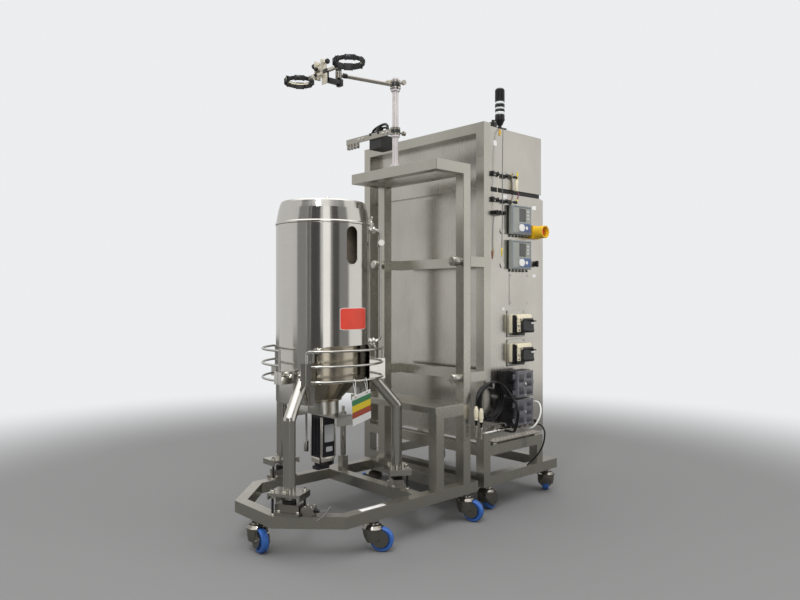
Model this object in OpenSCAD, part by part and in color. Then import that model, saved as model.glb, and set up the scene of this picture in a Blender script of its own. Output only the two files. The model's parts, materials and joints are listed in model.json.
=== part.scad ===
// Pilot-scale single-use bioreactor: a jacketed vessel on a wheeled cart, docked to a
// wheeled control cabinet. +Z is up, the vessel cart's nose points along -Y and the
// instrument side of the cabinet faces +X. Positions inside from_vessel() are measured
// from the vessel's axis on the floor.

/* [Frames] */
// Width of the square frame tube
tube = 50; // [40:1:60]
// Height of a caster, floor to the underside of the frame
caster_h = 130; // [120:1:150]
// Half of the vessel cart's width
cart_half_w = 360; // [340:5:400]
// Distance from the vessel axis forward to the cart's nose
nose_y = 365; // [350:5:400]
// Half of the flat stretch across the nose
nose_half_w = 145; // [120:5:160]
// Distance from the vessel axis back to the cart's rear edge
cart_rear_y = 650; // [640:5:700]

/* [Vessel] */
// Outside radius of the jacket
jacket_r = 211; // [200:1:220]
// Height of the jacket's rim above the floor
rim_z = 1484; // [1450:1:1550]
// Height of the weld bead where the shoulder starts
shoulder_z = 1386; // [1350:1:1400]
// Height of the jacket's lower edge
jacket_z = 850; // [820:1:860]
// Wall thickness of the jacket sheet
jacket_t = 4; // [3:0.5:6]
// Radius of the inner tank
tank_r = 168; // [160:1:172]
// Radius of the circle that the legs stand on
leg_circle_r = 340; // [330:1:350]
// Outside radius of a leg tube
leg_r = 25.5; // [20:0.5:30]

/* [Stand] */
// Height of the top of the stand
stand_top = 1690; // [1600:5:1800]
// Height of the shelf's top face
shelf_z = 560; // [540:5:600]
// Height of the upper docking arms, at their middle
dock_high = 1229; // [1200:1:1250]
// Height of the lower docking arms, at their middle
dock_low = 679; // [650:1:700]

/* [Holder] */
// Radius of the holder pole
pole_r = 15; // [12:0.5:18]
// Height of the swinging arm
arm_z = 2088; // [2050:1:2100]
// Height of the tray rail
rail_z = 1862; // [1800:1:1870]
// Inside radius of a ring clamp
ring_r = 58; // [50:1:65]

/* [Cabinet] */
// Distance from the vessel axis to the front of the cabinet cart
cab_y = 710; // [700:5:750]
// Length of the cabinet cart along Y
cab_cart_len = 610; // [580:5:650]
// Depth of the cabinet body along Y
cab_d = 430; // [400:5:460]
// Place of the cabinet's instrument face along X
cab_x = 336; // [320:1:350]
// Width of the cabinet along X
cab_w = 898; // [880:1:920]
// Height of the lower cabinet's underside
cab_z = 342; // [335:1:360]
// Height of the lower cabinet's top
cab_top = 1582; // [1550:1:1600]
// Height of the upper box's underside
upper_z = 1604; // [1600:1:1620]
// Height of the upper box's top
upper_top = 1905; // [1880:1:1920]
// Thickness of the sheet metal
sheet = 2.5; // [2:0.5:4]

/* [Instruments] */
// Width of a transmitter's face
tx_w = 165; // [150:1:180]
// Height of a transmitter's face
tx_h = 148; // [140:1:160]
// Height of a large pump
big_pump_h = 131; // [120:1:140]
// Height of a small pump's head
small_pump_h = 90; // [80:1:100]

/* [Casters] */
// Radius of a caster wheel
wheel_r = 50; // [45:1:55]
// Width of a caster wheel
wheel_w = 32; // [28:1:36]
// Distance from the swivel axis to the wheel axle
caster_trail = 38; // [30:1:45]
// Radius of a caster's hood
hood_r = 44; // [40:1:48]

/* [Hidden] */
// Where the vessel axis stands, so that the origin is at the middle of the footprint
vessel_x = 84.4;
vessel_y = -489.3;
base_z = caster_h;
base_top = caster_h + tube;
cab_far_x = cab_x - cab_w;
cab_rear = cab_y + tube + cab_d;
stand_y = 547;
stand_far_x = -251;
stand_front_y = 365;
leg_angles = [-60, 60, 180];
knee_z = 560;
leg_top_z = 718;
foot_z = 262;
foot_t = 12;
pole_x = 57;
pole_y = 390;
arm_end_x = -6;
arm_end_y = 92;
ring_y = 20;
ring_x = [163, -217];
ring_z = arm_z + 2;
cart_casters = [[0, -340, -8], [335, 11, 40], [335, 590, 20], [-335, 11, 140], [-335, 590, 200]];
cab_casters = [[305, 775, 100], [305, 1275, 128], [-521, 775, 150], [-521, 1275, 110]];
casters = concat(cart_casters, cab_casters);
stem_end_z = 106;
$fn = 48;

// ---- helpers ----

module from_vessel() {
    translate([vessel_x, vessel_y, 0]) children();
}

// A box between two opposite corners
module block(low, high) {
    translate(low) cube(high - low);
}

// A cylinder along +X, +Y from its starting point
module rod_x(start, r, len) {
    translate(start) rotate([0, 90, 0]) cylinder(r = r, h = len);
}

module rod_y(start, r, len) {
    translate(start) rotate([-90, 0, 0]) cylinder(r = r, h = len);
}

// A round bar between any two points
module strut(a, b, r) {
    d = b - a;
    translate(a)
        rotate([0, acos(d[2] / norm(d)), atan2(d[1], d[0])])
            cylinder(r = r, h = norm(d));
}

// A turned shape on the Z axis from [radius, height] points
module turned(points) {
    rotate_extrude($fn = 64) polygon(points);
}

// The part of a ring pipe between two angles, in the plane z = 0
module pipe_arc(ring, r, from, to) {
    rotate([0, 0, from]) rotate_extrude(angle = to - from) translate([ring, 0]) circle(r = r, $fn = 24);
}

// ---- vessel cart ----

// The cart's plan outline, set in from its outer edge
function cart_outline(inset) =
    let (
        k = inset * tan(22.5),
        corner_y = cart_half_w - nose_half_w - nose_y,
        right = [
            [nose_half_w - k, inset - nose_y],
            [cart_half_w - inset, corner_y + k],
            [cart_half_w - inset, cart_rear_y - inset]
        ]
    )
    concat(right, [for (i = [2:-1:0]) [-right[i][0], right[i][1]]]);

// Threaded stem and flange that a caster turns on
module caster_stem(x, y) {
    translate([x, y, 0]) {
        translate([0, 0, stem_end_z]) cylinder(r = 8, h = base_z - stem_end_z + 5);
        translate([0, 0, base_z - 6]) cylinder(r = 22, h = 8);
    }
}

module vessel_cart_frame() {
    from_vessel() color("silver") {
        translate([0, 0, base_z]) linear_extrude(tube) difference() {
            polygon(cart_outline(0));
            polygon(cart_outline(tube));
        }
        for (y = [265, stand_y])
            block([-cart_half_w + 10, y, base_z], [cart_half_w - 10, y + tube, base_top]);
        for (c = cart_casters) caster_stem(c[0], c[1]);
        clamp_rod();
    }
}

module tall_stand() {
    from_vessel() color("silver") {
        post_x = [cart_half_w - tube, stand_far_x];
        for (x = post_x) {
            block([x, stand_y, base_top], [x + tube, stand_y + tube, stand_top]);
            block([x, stand_front_y + tube, stand_top - tube], [x + tube, stand_y + 1, stand_top]);
            block([x, stand_front_y, shelf_z - 55], [x + tube, stand_y + 1, shelf_z - 5]);
        }
        block([post_x[0], stand_front_y, base_top], [cart_half_w, stand_front_y + tube, shelf_z - 5]);
        block([stand_far_x, stand_front_y, stand_top - tube], [cart_half_w, stand_front_y + tube, stand_top]);
        block([stand_far_x, stand_y, stand_top - tube], [cart_half_w, stand_y + tube, stand_top]);
        shelf();
    }
}

// Folded shelf plate with a turned-down front edge
module shelf() {
    block([stand_far_x, stand_front_y - 5, shelf_z - 5], [cart_half_w, stand_y, shelf_z]);
    block([stand_far_x, stand_front_y - 5, shelf_z - 30], [cart_half_w, stand_front_y, shelf_z]);
}

// Arms that join the stand to the cabinet's front frame, with their round end caps
module docking_frame() {
    from_vessel() color("silver")
        for (z = [dock_high, dock_low]) {
            for (x = [cart_half_w - tube, stand_far_x]) {
                block([x, stand_y + tube, z - 24], [x + tube, cab_y, z + 24]);
                docking_cap(x + tube / 2, z);
            }
            block([stand_far_x + 10, cab_y - tube, z - 24], [cart_half_w - 10, cab_y, z + 24]);
        }
}

// Turned cap screwed to the front of a stand post
module docking_cap(x, z) {
    translate([x, stand_y, z]) rotate([90, 0, 0])
        turned([[0, 0], [18, 0], [18, 8], [11, 10], [11, 16], [23, 20], [23, 52], [19, 58], [0, 60]]);
}

// ---- vessel ----

module vessel_jacket() {
    from_vessel() color("gainsboro") {
        difference() {
            rotate_extrude($fn = 96) polygon(jacket_profile());
            access_cut();
            sight_slot();
        }
        water_pipe();
        rim_handle();
    }
}

// Bent handle on the rim's rear
module rim_handle() {
    bend = 24;
    foot = rim_z - 3;
    rise = 30;
    rotate([0, 0, 137]) translate([jacket_r - 39, 0, 0]) {
        for (y = [-bend, bend]) translate([0, y, foot]) cylinder(r = 4, h = rise);
        translate([0, 0, foot + rise]) rotate([90, 0, 90]) pipe_arc(bend, 4, 0, 180);
    }
}

// Section of the jacket: straight wall, weld bead, tapered shoulder and rolled rim
function jacket_profile() =
    let (r = jacket_r, t = jacket_t)
    [
        [r - t, 600], [r, 600], [r, shoulder_z - 8], [r + 3, shoulder_z - 5], [r + 3, shoulder_z + 1],
        [r - 1, shoulder_z + 6], [r - 11, shoulder_z + 62], [r - 20, rim_z - 7],
        [r - 24, rim_z - 1], [r - 34, rim_z], [tank_r + 1, rim_z], [tank_r + 1, rim_z - 6],
        [r - 38, rim_z - 6], [r - 30, rim_z - 8], [r - 25, rim_z - 14],
        [r - 15, shoulder_z + 60], [r - t - 1, shoulder_z], [r - t, shoulder_z - 10]
    ];

// Opening at the foot of the jacket, on the operator's side
module access_cut() {
    half = 46;
    corner = 50;
    w = jacket_r * sin(half);
    translate([0, -w, 590]) rotate([90, 0, 90]) linear_extrude(jacket_r + 20) {
        square([2 * w, jacket_z - 590 - corner]);
        translate([corner, 0]) square([2 * (w - corner), jacket_z - 590]);
        for (x = [corner, 2 * w - corner]) translate([x, jacket_z - 590 - corner]) circle(r = corner);
    }
}

// Tall round-ended slot through the jacket that shows the liquid level
module sight_slot() {
    slot_r = 29;
    slot_low = 1200;
    slot_high = 1366;
    for (z = [slot_low + slot_r, slot_high - slot_r]) rod_x([150, 0, z], slot_r, 100);
    block([150, -slot_r, slot_low + slot_r], [250, slot_r, slot_high - slot_r]);
}

module inner_vessel() {
    from_vessel() color("rosybrown") rotate_extrude($fn = 96) polygon([
        [76, 598], [84, 598], [84, 606], [tank_r - 10, 682], [tank_r, 696], [tank_r, rim_z - 14],
        [tank_r + 4.5, rim_z - 6], [tank_r + 1, rim_z - 6], [tank_r - 4, rim_z - 12],
        [tank_r - 4, 698], [tank_r - 12, 687], [80, 611], [30, 604], [30, 598]
    ]);
}

// Base that closes the tank, the plate under it and the guide rod that hangs from the plate
module drive_housing() {
    from_vessel() color("silver") {
        difference() {
            translate([0, 0, 539]) cylinder(r = 70, h = 59);
            translate([0, 0, 545]) cylinder(r = 46, h = 46);
            translate([0, 0, 530]) cylinder(r = 14, h = 20);
        }
        difference() {
            block([-202, -42, 531], [166, 42, 539.5]);
            translate([0, 0, 530]) cylinder(r = 14, h = 20);
        }
        for (x = [-202, 154]) block([x, -42, 500], [x + 12, 42, 531]);
        translate([-90, -30, 398]) cylinder(r = 5, h = 134);
        translate([-90, -30, 352]) cylinder(r = 11, h = 48);
    }
}

// Three bent legs, each with a folded foot plate over its load cell
module vessel_legs() {
    from_vessel() color("silver")
        for (a = leg_angles) rotate([0, 0, a]) {
            translate([leg_circle_r, 0, foot_z]) cylinder(r = leg_r, h = knee_z - foot_z);
            translate([leg_circle_r, 0, knee_z]) sphere(r = leg_r);
            difference() {
                leg_strut(leg_r);
                translate([0, 0, 590]) cylinder(r = jacket_r + 0.5, h = 300, $fn = 96);
            }
            foot_plate();
        }
}

// Slanted part of a leg, from its knee into the jacket's wall
module leg_strut(r) {
    knee = [leg_circle_r, 0, knee_z];
    top = [jacket_r - 3, 0, leg_top_z];
    strut(knee, top + (top - knee) * 0.15, r);
}

// Channel-shaped plate at the foot of a leg
module foot_plate() {
    block([leg_circle_r - 45, -72, foot_z], [leg_circle_r + 55, 72, foot_z + foot_t]);
    for (y = [-72, 66])
        block([leg_circle_r - 45, y, foot_z - 14], [leg_circle_r + 55, y + 6, foot_z + 1]);
}

module load_cells() {
    from_vessel() color("dimgray")
        for (a = leg_angles) rotate([0, 0, a]) translate([leg_circle_r, 0, 0]) {
            block([-24, -52, base_top + 12], [24, 52, base_top + 44]);
            block([-40, -60, base_top], [40, 60, base_top + 12.5]);
            translate([0, 0, base_top + 43]) cylinder(r = 17, h = foot_z - base_top - 43.2);
        }
}

module drive_motor() {
    from_vessel() color("#1c1c22") {
        half = 40;
        difference() {
            block([-half, -half, 335], [half, half, 531]);
            for (a = [0:90:270]) rotate([0, 0, a]) {
                block([half - 4, -half + 10, 345], [half + 1, half - 10, 520]);
                translate([half, half, 330]) rotate([0, 0, 45]) block([-4, -8, 0], [4, 8, 210]);
            }
            translate([0, 0, 500]) cylinder(r = 14, h = 40);
        }
        for (a = [0:90:270]) rotate([0, 0, a])
            for (i = [-2:2]) block([half - 5, i * 11 - 2, 350], [half - 1, i * 11 + 2, 515]);
        block([-28, -28, 300], [28, 28, 336]);
        block([-20, -45, 286], [20, 20, 301]);
    }
}

// Motor shaft with the magnetic drive head that turns the impeller in the bag
module magnet_rotor() {
    from_vessel() color("gray") {
        translate([0, 0, 506]) cylinder(r = 9, h = 56);
        translate([0, 0, 552]) difference() {
            cylinder(r = 40, h = 34);
            for (a = [0:60:300]) rotate([0, 0, a]) translate([27, 0, 20]) cylinder(r = 8, h = 20);
        }
    }
}

// Rod with a clamp head, welded in a square socket behind the vessel
module clamp_rod() {
    translate([-226, 290, base_top - 1]) {
        block([-18, -18, 0], [18, 18, 80]);
        cylinder(r = 8, h = 330);
        translate([0, 0, 268]) cylinder(r = 17, h = 34);
        rod_y([0, -48, 285], 7, 40);
        rod_x([0, 0, 285], 5, 42);
        translate([42, 0, 285]) rotate([0, 90, 0]) cylinder(r = 12, h = 12, $fn = 6);
    }
}

// ---- hose rails ----

module hose_rails() {
    from_vessel() color("silver")
        for (a = [0, 120, 240]) rotate([0, 0, a])
            rail_set(a == 0 ? 51 : 41, a == 0 ? 784 : 744, $fn = 28);
}

// Three curved rods up to an angle on either side, with their end rods and clamps
module rail_set(end, clamp_top) {
    ring = 270;
    r = 5;
    end_r = 5.6;
    bend = 14;
    levels = [706, 770, 833];
    turn = bend / ring * 180 / PI;
    for (z = [levels[0], levels[1]]) translate([0, 0, z]) pipe_arc(ring, r, -end, end);
    translate([0, 0, levels[2]]) pipe_arc(ring, r, -end + turn, end);
    rotate([0, 0, turn - end]) translate([ring, 0, levels[2]]) sphere(r = end_r);
    rotate([0, 0, -end]) translate([ring, 0, 0]) {
        translate([0, bend, levels[2] - bend]) rotate([90, 0, 90]) pipe_arc(bend, r, 90, 180);
        translate([0, 0, levels[0] - end_r]) cylinder(r = end_r, h = levels[2] - bend - levels[0] + end_r + 2);
    }
    rotate([0, 0, end]) translate([ring, 0, levels[0] - end_r])
        cylinder(r = end_r, h = levels[2] - levels[0] + 2 * end_r);
    for (s = [-1, 1]) difference() {
        rotate([0, 0, s * end]) rail_clamp(ring, s, clamp_top);
        rotate([0, 0, s * leg_angles[1]]) leg_strut(leg_r + 0.6);
    }
}

// Block that holds the rail's end rod off the jacket, split at the rod, with its thumb screw
module rail_clamp(ring, side, top) {
    half = 22;
    low = 692;
    screw_z = 728;
    difference() {
        block([jacket_r - 4, -half, low], [ring + 10, half, top]);
        block([ring + 7, -1, low - 1], [ring + 11, 1, top + 1]);
        translate([0, 0, low - 1]) cylinder(r = jacket_r, h = top - low + 2, $fn = 96);
    }
    rod_y([ring - 24, side > 0 ? half - 1 : -half - 11, screw_z], 4, 12);
    rod_y([ring - 24, side > 0 ? half + 10 : -half - 18, screw_z], 9, 8);
}

// Water pipe beside the vessel, with its upper elbow and valve
module water_pipe() {
    rotate([0, 0, 57]) translate([jacket_r + 50, 0, 0]) {
        low = 858;
        high = 1368;
        bend = 26;
        r = 7;
        translate([0, 0, low + bend]) cylinder(r = r, h = high - low - 2 * bend);
        translate([-bend, 0, high - bend]) rotate([90, 0, 0]) pipe_arc(bend, r, 0, 90);
        translate([-bend, 0, low + bend]) rotate([90, 0, 0]) pipe_arc(bend, r, -90, 0);
        for (z = [low, high]) {
            rod_x([-53, 0, z], r, 28);
            rod_x([-52.5, 0, z], 15, 10);
        }
        translate([0, 0, 1290]) cylinder(r = 13, h = 34);
        rod_y([0, -34, 1307], 6, 34);
        rod_y([0, -42, 1307], 14, 9);
    }
}

// ---- swinging holder ----

module holder_pole() {
    from_vessel() color("whitesmoke") translate([pole_x, pole_y, 0]) {
        translate([0, 0, stand_top]) cylinder(r = 26, h = 10);
        translate([0, 0, stand_top]) cylinder(r = pole_r, h = arm_z + 34 - stand_top);
        for (z = [rail_z - 26, arm_z - 30]) translate([0, 0, z]) cylinder(r = pole_r + 7, h = 9);
    }
}

// Sleeve that turns on the pole and carries the horizontal arm
module holder_arm() {
    from_vessel() color("silver") {
        start = [pole_x, pole_y, arm_z];
        finish = [arm_end_x, arm_end_y, arm_z];
        difference() {
            union() {
                translate([pole_x, pole_y, arm_z - 20]) cylinder(r = 25, h = 42);
                strut(start, finish, 9);
                translate([arm_end_x, arm_end_y, arm_z - 16]) cylinder(r = 15, h = 32);
                rod_x([pole_x + 18, pole_y, arm_z], 5, 38);
                rod_x([pole_x + 54, pole_y, arm_z], 12, 12);
            }
            translate([pole_x, pole_y, arm_z - 40]) cylinder(r = pole_r + 0.05, h = 80);
            translate([arm_end_x, arm_end_y, arm_z - 40]) cylinder(r = 6.05, h = 80);
        }
    }
}

// Bracket, cross bar and the fixed halves of both ring clamps
module ring_holder() {
    from_vessel() color("#1c1c22") {
        translate([arm_end_x, arm_end_y, arm_z - 52]) cylinder(r = 6, h = 86);
        translate([arm_end_x, arm_end_y, arm_z + 18]) cylinder(r = 14, h = 16);
        block([arm_end_x - 16, ring_y + 70, arm_z - 52], [arm_end_x + 16, arm_end_y + 16, arm_z - 20]);
        block([arm_end_x - 14, ring_y - 8, arm_z - 46], [arm_end_x + 14, ring_y + 72, arm_z - 26]);
        block([arm_end_x - 14, ring_y - 8, arm_z - 46], [arm_end_x + 14, ring_y + 8, ring_z + 10]);
        bar_start = ring_x[1] + ring_r + 10;
        rod_x([bar_start, ring_y, ring_z], 6, ring_x[0] - ring_r - 10 - bar_start);
        for (i = [0, 1]) ring_place(i) fixed_jaw();
    }
}

// Half ring of flat links on the +Y side, with its ends cut back by a gap
module half_ring(low, high, gap) {
    intersection() {
        difference() {
            linear_extrude(high - low) difference() {
                circle(r = (ring_r + 12) / cos(30), $fn = 6);
                circle(r = ring_r, $fn = 64);
            }
            for (a = [60, 120]) rotate([0, 0, a])
                translate([ring_r + 14.5, 0, -1]) rotate([0, 0, 45]) cube([6, 6, 60], center = true);
        }
        translate([-120, gap, -1]) cube([120 + hinge_off - 7, 120, high - low + 2]);
    }
}

jaw_h = 13;
hinge_off = ring_r + 16;

// Jaw on the +Y side that the cross bar carries, with two hinge lugs and the pin
module fixed_jaw() {
    translate([0, 0, -jaw_h]) half_ring(0, 2 * jaw_h, 0.4);
    for (z = [-jaw_h, jaw_h - 7]) {
        translate([hinge_off, 0, z]) cylinder(r = 5, h = 7);
        block([ring_r + 3, 0.5, z], [hinge_off, 5, z + 7]);
    }
    translate([hinge_off, 0, -jaw_h]) cylinder(r = 2, h = 2 * jaw_h);
}

// Jaw that swings on the fixed jaw's pin
module ring_jaw(i) {
    from_vessel() color("#1c1c22") ring_place(i) difference() {
        union() {
            mirror([0, 1, 0]) translate([0, 0, -jaw_h]) half_ring(0, 2 * jaw_h, 0.4);
            translate([hinge_off, 0, -5.5]) cylinder(r = 5, h = 11);
            block([ring_r + 3, -5, -5.5], [hinge_off, -0.5, 5.5]);
        }
        translate([hinge_off, 0, -20]) cylinder(r = 2.05, h = 40);
    }
}

module ring_place(i) {
    translate([ring_x[i], ring_y, ring_z]) rotate([0, 0, i == 0 ? 90 : -90]) children();
}

module ring_jaw_1() {
    ring_jaw(0);
}

module ring_jaw_2() {
    ring_jaw(1);
}

bar_y = pole_y - 24;
bar_t = 7;

// Flat rail that turns on the pole, with small spring clips under its far end
module tray_rail() {
    from_vessel() color("silver") {
        difference() {
            union() {
                translate([pole_x, pole_y, rail_z - 16]) cylinder(r = 24, h = 36);
                block([-296, bar_y, rail_z - 14], [pole_x, bar_y + bar_t, rail_z + 14]);
                rod_y([pole_x, pole_y + 18, rail_z], 5, 34);
                rod_y([pole_x, pole_y + 50, rail_z], 11, 12);
                for (x = [-285, -262, -238, -214]) spring_clip(x);
            }
            translate([pole_x, pole_y, rail_z - 30]) cylinder(r = pole_r + 0.05, h = 60);
        }
    }
}

// Sprung loop that holds a hose or a cable below the rail
module spring_clip(x) {
    difference() {
        block([x, bar_y - 5, rail_z - 40], [x + 12, bar_y + 12, rail_z - 13]);
        rod_x([x - 1, bar_y + 3.5, rail_z - 27], 6, 14);
        block([x - 1, bar_y + 1, rail_z - 41], [x + 13, bar_y + 6, rail_z - 27]);
    }
}

// Folded tray behind the rail, with two hooks over the rail's upper edge
module clamp_tray() {
    t = 3;
    low = [-118, bar_y + bar_t, rail_z - 63];
    high = [-28, bar_y + bar_t + 89, rail_z];
    from_vessel() color("#1c1c22") {
        difference() {
            block(low, high);
            block(low + [t, t, t], high + [-t, -t, 1]);
        }
        for (x = [low[0] + 10, high[0] - 20]) {
            block([x, low[1], high[2] - 1], [x + 10, low[1] + t, rail_z + 17]);
            block([x, bar_y - t, rail_z + 14], [x + 10, low[1] + 1, rail_z + 17]);
            block([x, bar_y - t, rail_z + 4], [x + 10, bar_y, rail_z + 15]);
        }
    }
}

// ---- cabinet cart ----

module cabinet_cart_frame() {
    rear = cab_y + cab_cart_len;
    near = cab_x + 10;
    from_vessel() color("silver") {
        difference() {
            block([cab_far_x, cab_y, base_z], [near, rear, base_top]);
            block([cab_far_x + tube, cab_y + tube, base_z - 1], [near - tube, rear - tube, base_top + 1]);
        }
        for (x = [near - tube, cab_far_x]) {
            block([x, cab_y, base_top - 1], [x + tube, cab_y + tube, upper_top + 11]);
            block([x, cab_rear - tube, base_top - 1], [x + tube, cab_rear, cab_z - 60]);
            block([x, cab_y + tube - 1, cab_z - 62], [x + tube, cab_rear, cab_z - 12]);
            for (y = [cab_y + 80, cab_rear - 60])
                block([x + 10, y, cab_z - 13], [x + 40, y + 30, cab_z]);
        }
        block([cab_far_x, cab_y, upper_top - 39], [near, cab_y + tube, upper_top + 11]);
        block([cab_far_x, cab_y, cab_z - 62], [near, cab_y + tube, cab_z - 12]);
        block([cab_far_x, cab_rear - tube, cab_z - 62], [near, cab_rear, cab_z - 12]);
        for (c = cab_casters) caster_stem(c[0], c[1]);
        cable_hook();
    }
}

// Bent hook on the front post that carries the coiled cable
module cable_hook() {
    rod_x([cab_x + 9, 718, 622], 5, 52);
    translate([cab_x + 61, 718, 622]) sphere(r = 5);
    translate([cab_x + 61, 718, 622]) cylinder(r = 5, h = 22);
}

// Sheet-metal cabinet, open at the rear behind its door
module lower_cabinet() {
    low = [cab_far_x, cab_y + tube, cab_z];
    high = [cab_x, cab_rear, cab_top];
    from_vessel() color("gainsboro") {
        difference() {
            block(low, high);
            block(low + [sheet, sheet, sheet], high + [-sheet, -sheet, -sheet]);
            block([low[0] + 25, high[1] - 10, low[2] + 25], [high[0] - 25, high[1] + 10, high[2] - 25]);
            selector_seat_bore();
        }
        block([cab_far_x + 14, low[1] + 14, cab_top - 1], [cab_x - 14, cab_rear - 14, upper_z]);
        mounting_plate();
        side_plates();
        for (z = hinge_levels) hinge_leaf(z);
    }
}

// Galvanised plate inside the cabinet with rails of control modules
module mounting_plate() {
    y = cab_y + tube + 40;
    block([cab_far_x + 60, y, cab_z + 60], [cab_x - 220, y + 3, cab_top - 60]);
    for (x = [cab_far_x + 120, cab_x - 280], z = [cab_z + 120, cab_top - 120])
        rod_y([x, cab_y + tube + 2, z], 8, 39);
    for (row = [0:3]) {
        z = cab_z + 190 + row * 270;
        block([cab_far_x + 90, y + 2, z - 17], [cab_x - 250, y + 10, z + 17]);
        for (i = [0:6])
            block([cab_far_x + 110 + i * 72, y + 9, z - 45], [cab_far_x + 170 + i * 72, y + 70, z + 45]);
    }
}

// Plain plates and plugs fixed to the instrument side
module side_plates() {
    translate([cab_x - 1, 0, 0]) {
        block([0, 918, 1019], [3, 1080, 1183]);
        for (z = [1391, 1221]) rod_x([0, 860, z], 15, 5);
        for (y = [930, 1068], z = [1031, 1171]) rod_x([0, y, z], 5, 5);
        difference() {
            rod_x([0, 1125, 1234], 18, 7);
            rod_x([-2, 1125, 1234], 6.05, 12);
        }
    }
}

module selector_seat_bore() {
    rod_x([cab_x - 10, 1125, 1234], 6.05, 30);
}

hinge_levels = [cab_z + 160, cab_z + 620, cab_z + 1080];
hinge_x = cab_far_x - 6;
hinge_y = cab_rear + 16;

// Fixed half of a door hinge, with its pin
module hinge_leaf(z) {
    block([cab_far_x - 5, cab_rear - 40, z - 30], [cab_far_x + 1, cab_rear - 1, z - 1]);
    block([cab_far_x - 5, cab_rear - 2, z - 30], [cab_far_x - 1, hinge_y, z - 1]);
    translate([hinge_x, hinge_y, z - 30]) cylinder(r = 7, h = 29);
    translate([hinge_x, hinge_y, z - 2]) cylinder(r = 4, h = 31);
}

module rear_door() {
    y0 = cab_rear + 3;
    from_vessel() color("gainsboro") {
        difference() {
            block([cab_far_x + 4, y0, cab_z + 4], [cab_x - 4, y0 + 18, cab_top - 4]);
            block([cab_far_x + 7, y0 - 1, cab_z + 7], [cab_x - 7, y0 + 15.5, cab_top - 7]);
        }
        for (z = hinge_levels) difference() {
            union() {
                block([hinge_x, hinge_y - 3, z], [cab_far_x + 5, hinge_y + 3, z + 29]);
                translate([hinge_x, hinge_y, z]) cylinder(r = 7, h = 29);
            }
            translate([hinge_x, hinge_y, z - 5]) cylinder(r = 4.05, h = 50);
        }
        for (z = [cab_z + 330, cab_z + 910]) {
            rod_y([cab_x - 40, y0 + 17, z], 16, 8);
            rod_y([cab_x - 40, y0 + 24, z], 11, 6);
        }
    }
}

// Upper box, set on the lower one over a dark recessed seal
module upper_cabinet() {
    low = [cab_far_x, cab_y + tube, upper_z];
    high = [cab_x, cab_rear, upper_top];
    from_vessel() color("gainsboro") difference() {
        block(low, high);
        block(low + [sheet, sheet, 25], high - [sheet, sheet, sheet]);
        block(low + [25, 25, -1], high - [25, 25, 60]);
    }
}

// ---- instruments on the cabinet's side ----

module transmitters() {
    from_vessel() color("lightslategray")
        for (z = [1276, 1454]) translate([cab_x, 988, z]) transmitter();
}

// Panel instrument: stepped housing, recessed display and a raised key plate
module transmitter() {
    w = tx_w / 2;
    h = tx_h / 2;
    difference() {
        union() {
            block([0, -w + 6, -h + 6], [12, w - 6, h - 6]);
            block([8, -w, -h], [24, w, h]);
            block([23, -w + 4, -h + 4], [27, w - 4, h - 4]);
        }
        block([24.5, -22, -10], [30, 34, 58]);
        block([24.5, -w + 16, 62], [30, w - 16, 66]);
    }
    block([26, -30, -62], [28.5, 58, -18]);
    translate([28, 0, -40]) rotate([0, 90, 0]) cylinder(r = 18, h = 2);
    translate([28, 38, -40]) rotate([0, 90, 0]) cylinder(r = 8, h = 2);
    block([26, 42, 0], [28, 56, 54]);
    for (y = [-55:28:57]) translate([12, y, -h - 10]) cylinder(r = 6, h = 11);
}

estop_y = 1120;
estop_z = 1399;

module estop_shroud() {
    from_vessel() color("gold") translate([cab_x, estop_y, estop_z]) difference() {
        union() {
            block([0, -34, -34], [22, 34, 34]);
            rod_x([20, 0, 0], 33, 58);
        }
        rod_x([14, 0, 0], 27, 80);
        rod_x([-1, 0, 0], 8.05, 40);
        block([40, -8, -40], [90, 8, 40]);
    }
}

module estop_button() {
    from_vessel() color("firebrick") translate([cab_x, estop_y, estop_z]) rotate([0, 90, 0]) {
        translate([0, 0, 6]) cylinder(r = 8, h = 34);
        turned([[0, 38], [15, 38], [20, 44], [20, 56], [17, 61], [0, 62]]);
    }
}

module selector_switch() {
    from_vessel() color("#202020") translate([cab_x, 1125, 1234]) {
        rod_x([-4, 0, 0], 6, 14);
        rod_x([6.4, 0, 0], 14, 9);
        block([14, -5, -16], [28, 5, 16]);
    }
}

small_pump_levels = [924, 777];

module small_pumps() {
    from_vessel() color("wheat")
        for (z = small_pump_levels) translate([cab_x, 976, z]) {
            h = small_pump_h / 2;
            block([0, -70, -60], [9, 62, 60]);
            block([8, -80, -68], [12, 66, 68]);
            block([11, -62, -h], [38, 64, h]);
            block([37, -57, -h + 4], [50, 64, h]);
            for (y = [-34, 58]) rod_y([58, y, h - 24], 7, 6);
            for (y = [-34, 58]) block([49, y, h - 31], [58, y + 6, h - 17]);
            rod_y([58, -34, h - 24], 3, 98);
            rod_x([49, -46, -8], 7, 6);
        }
}

// Flip cover of a small pump, hinged on a pin along its upper edge
module small_pump_cover(level) {
    from_vessel() color("#202020") translate([cab_x, 976, level]) {
        h = small_pump_h / 2;
        difference() {
            union() {
                block([50.6, -27.5, -h], [68, 57.5, h - 28]);
                rod_y([58, -27.5, h - 24], 7, 85);
                rod_y([50.6 + 9, -27.5, -h + 12], 12, 85);
            }
            block([40, -30, -h - 20], [50.5, 60, h]);
            rod_y([58, -30, h - 24], 3.05, 90);
        }
        block([66, 40, h - 34], [90, 49, h - 28]);
    }
}

module small_pump_cover_1() {
    small_pump_cover(small_pump_levels[0]);
}

module small_pump_cover_2() {
    small_pump_cover(small_pump_levels[1]);
}

large_pump_levels = [628, 488];

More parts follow.
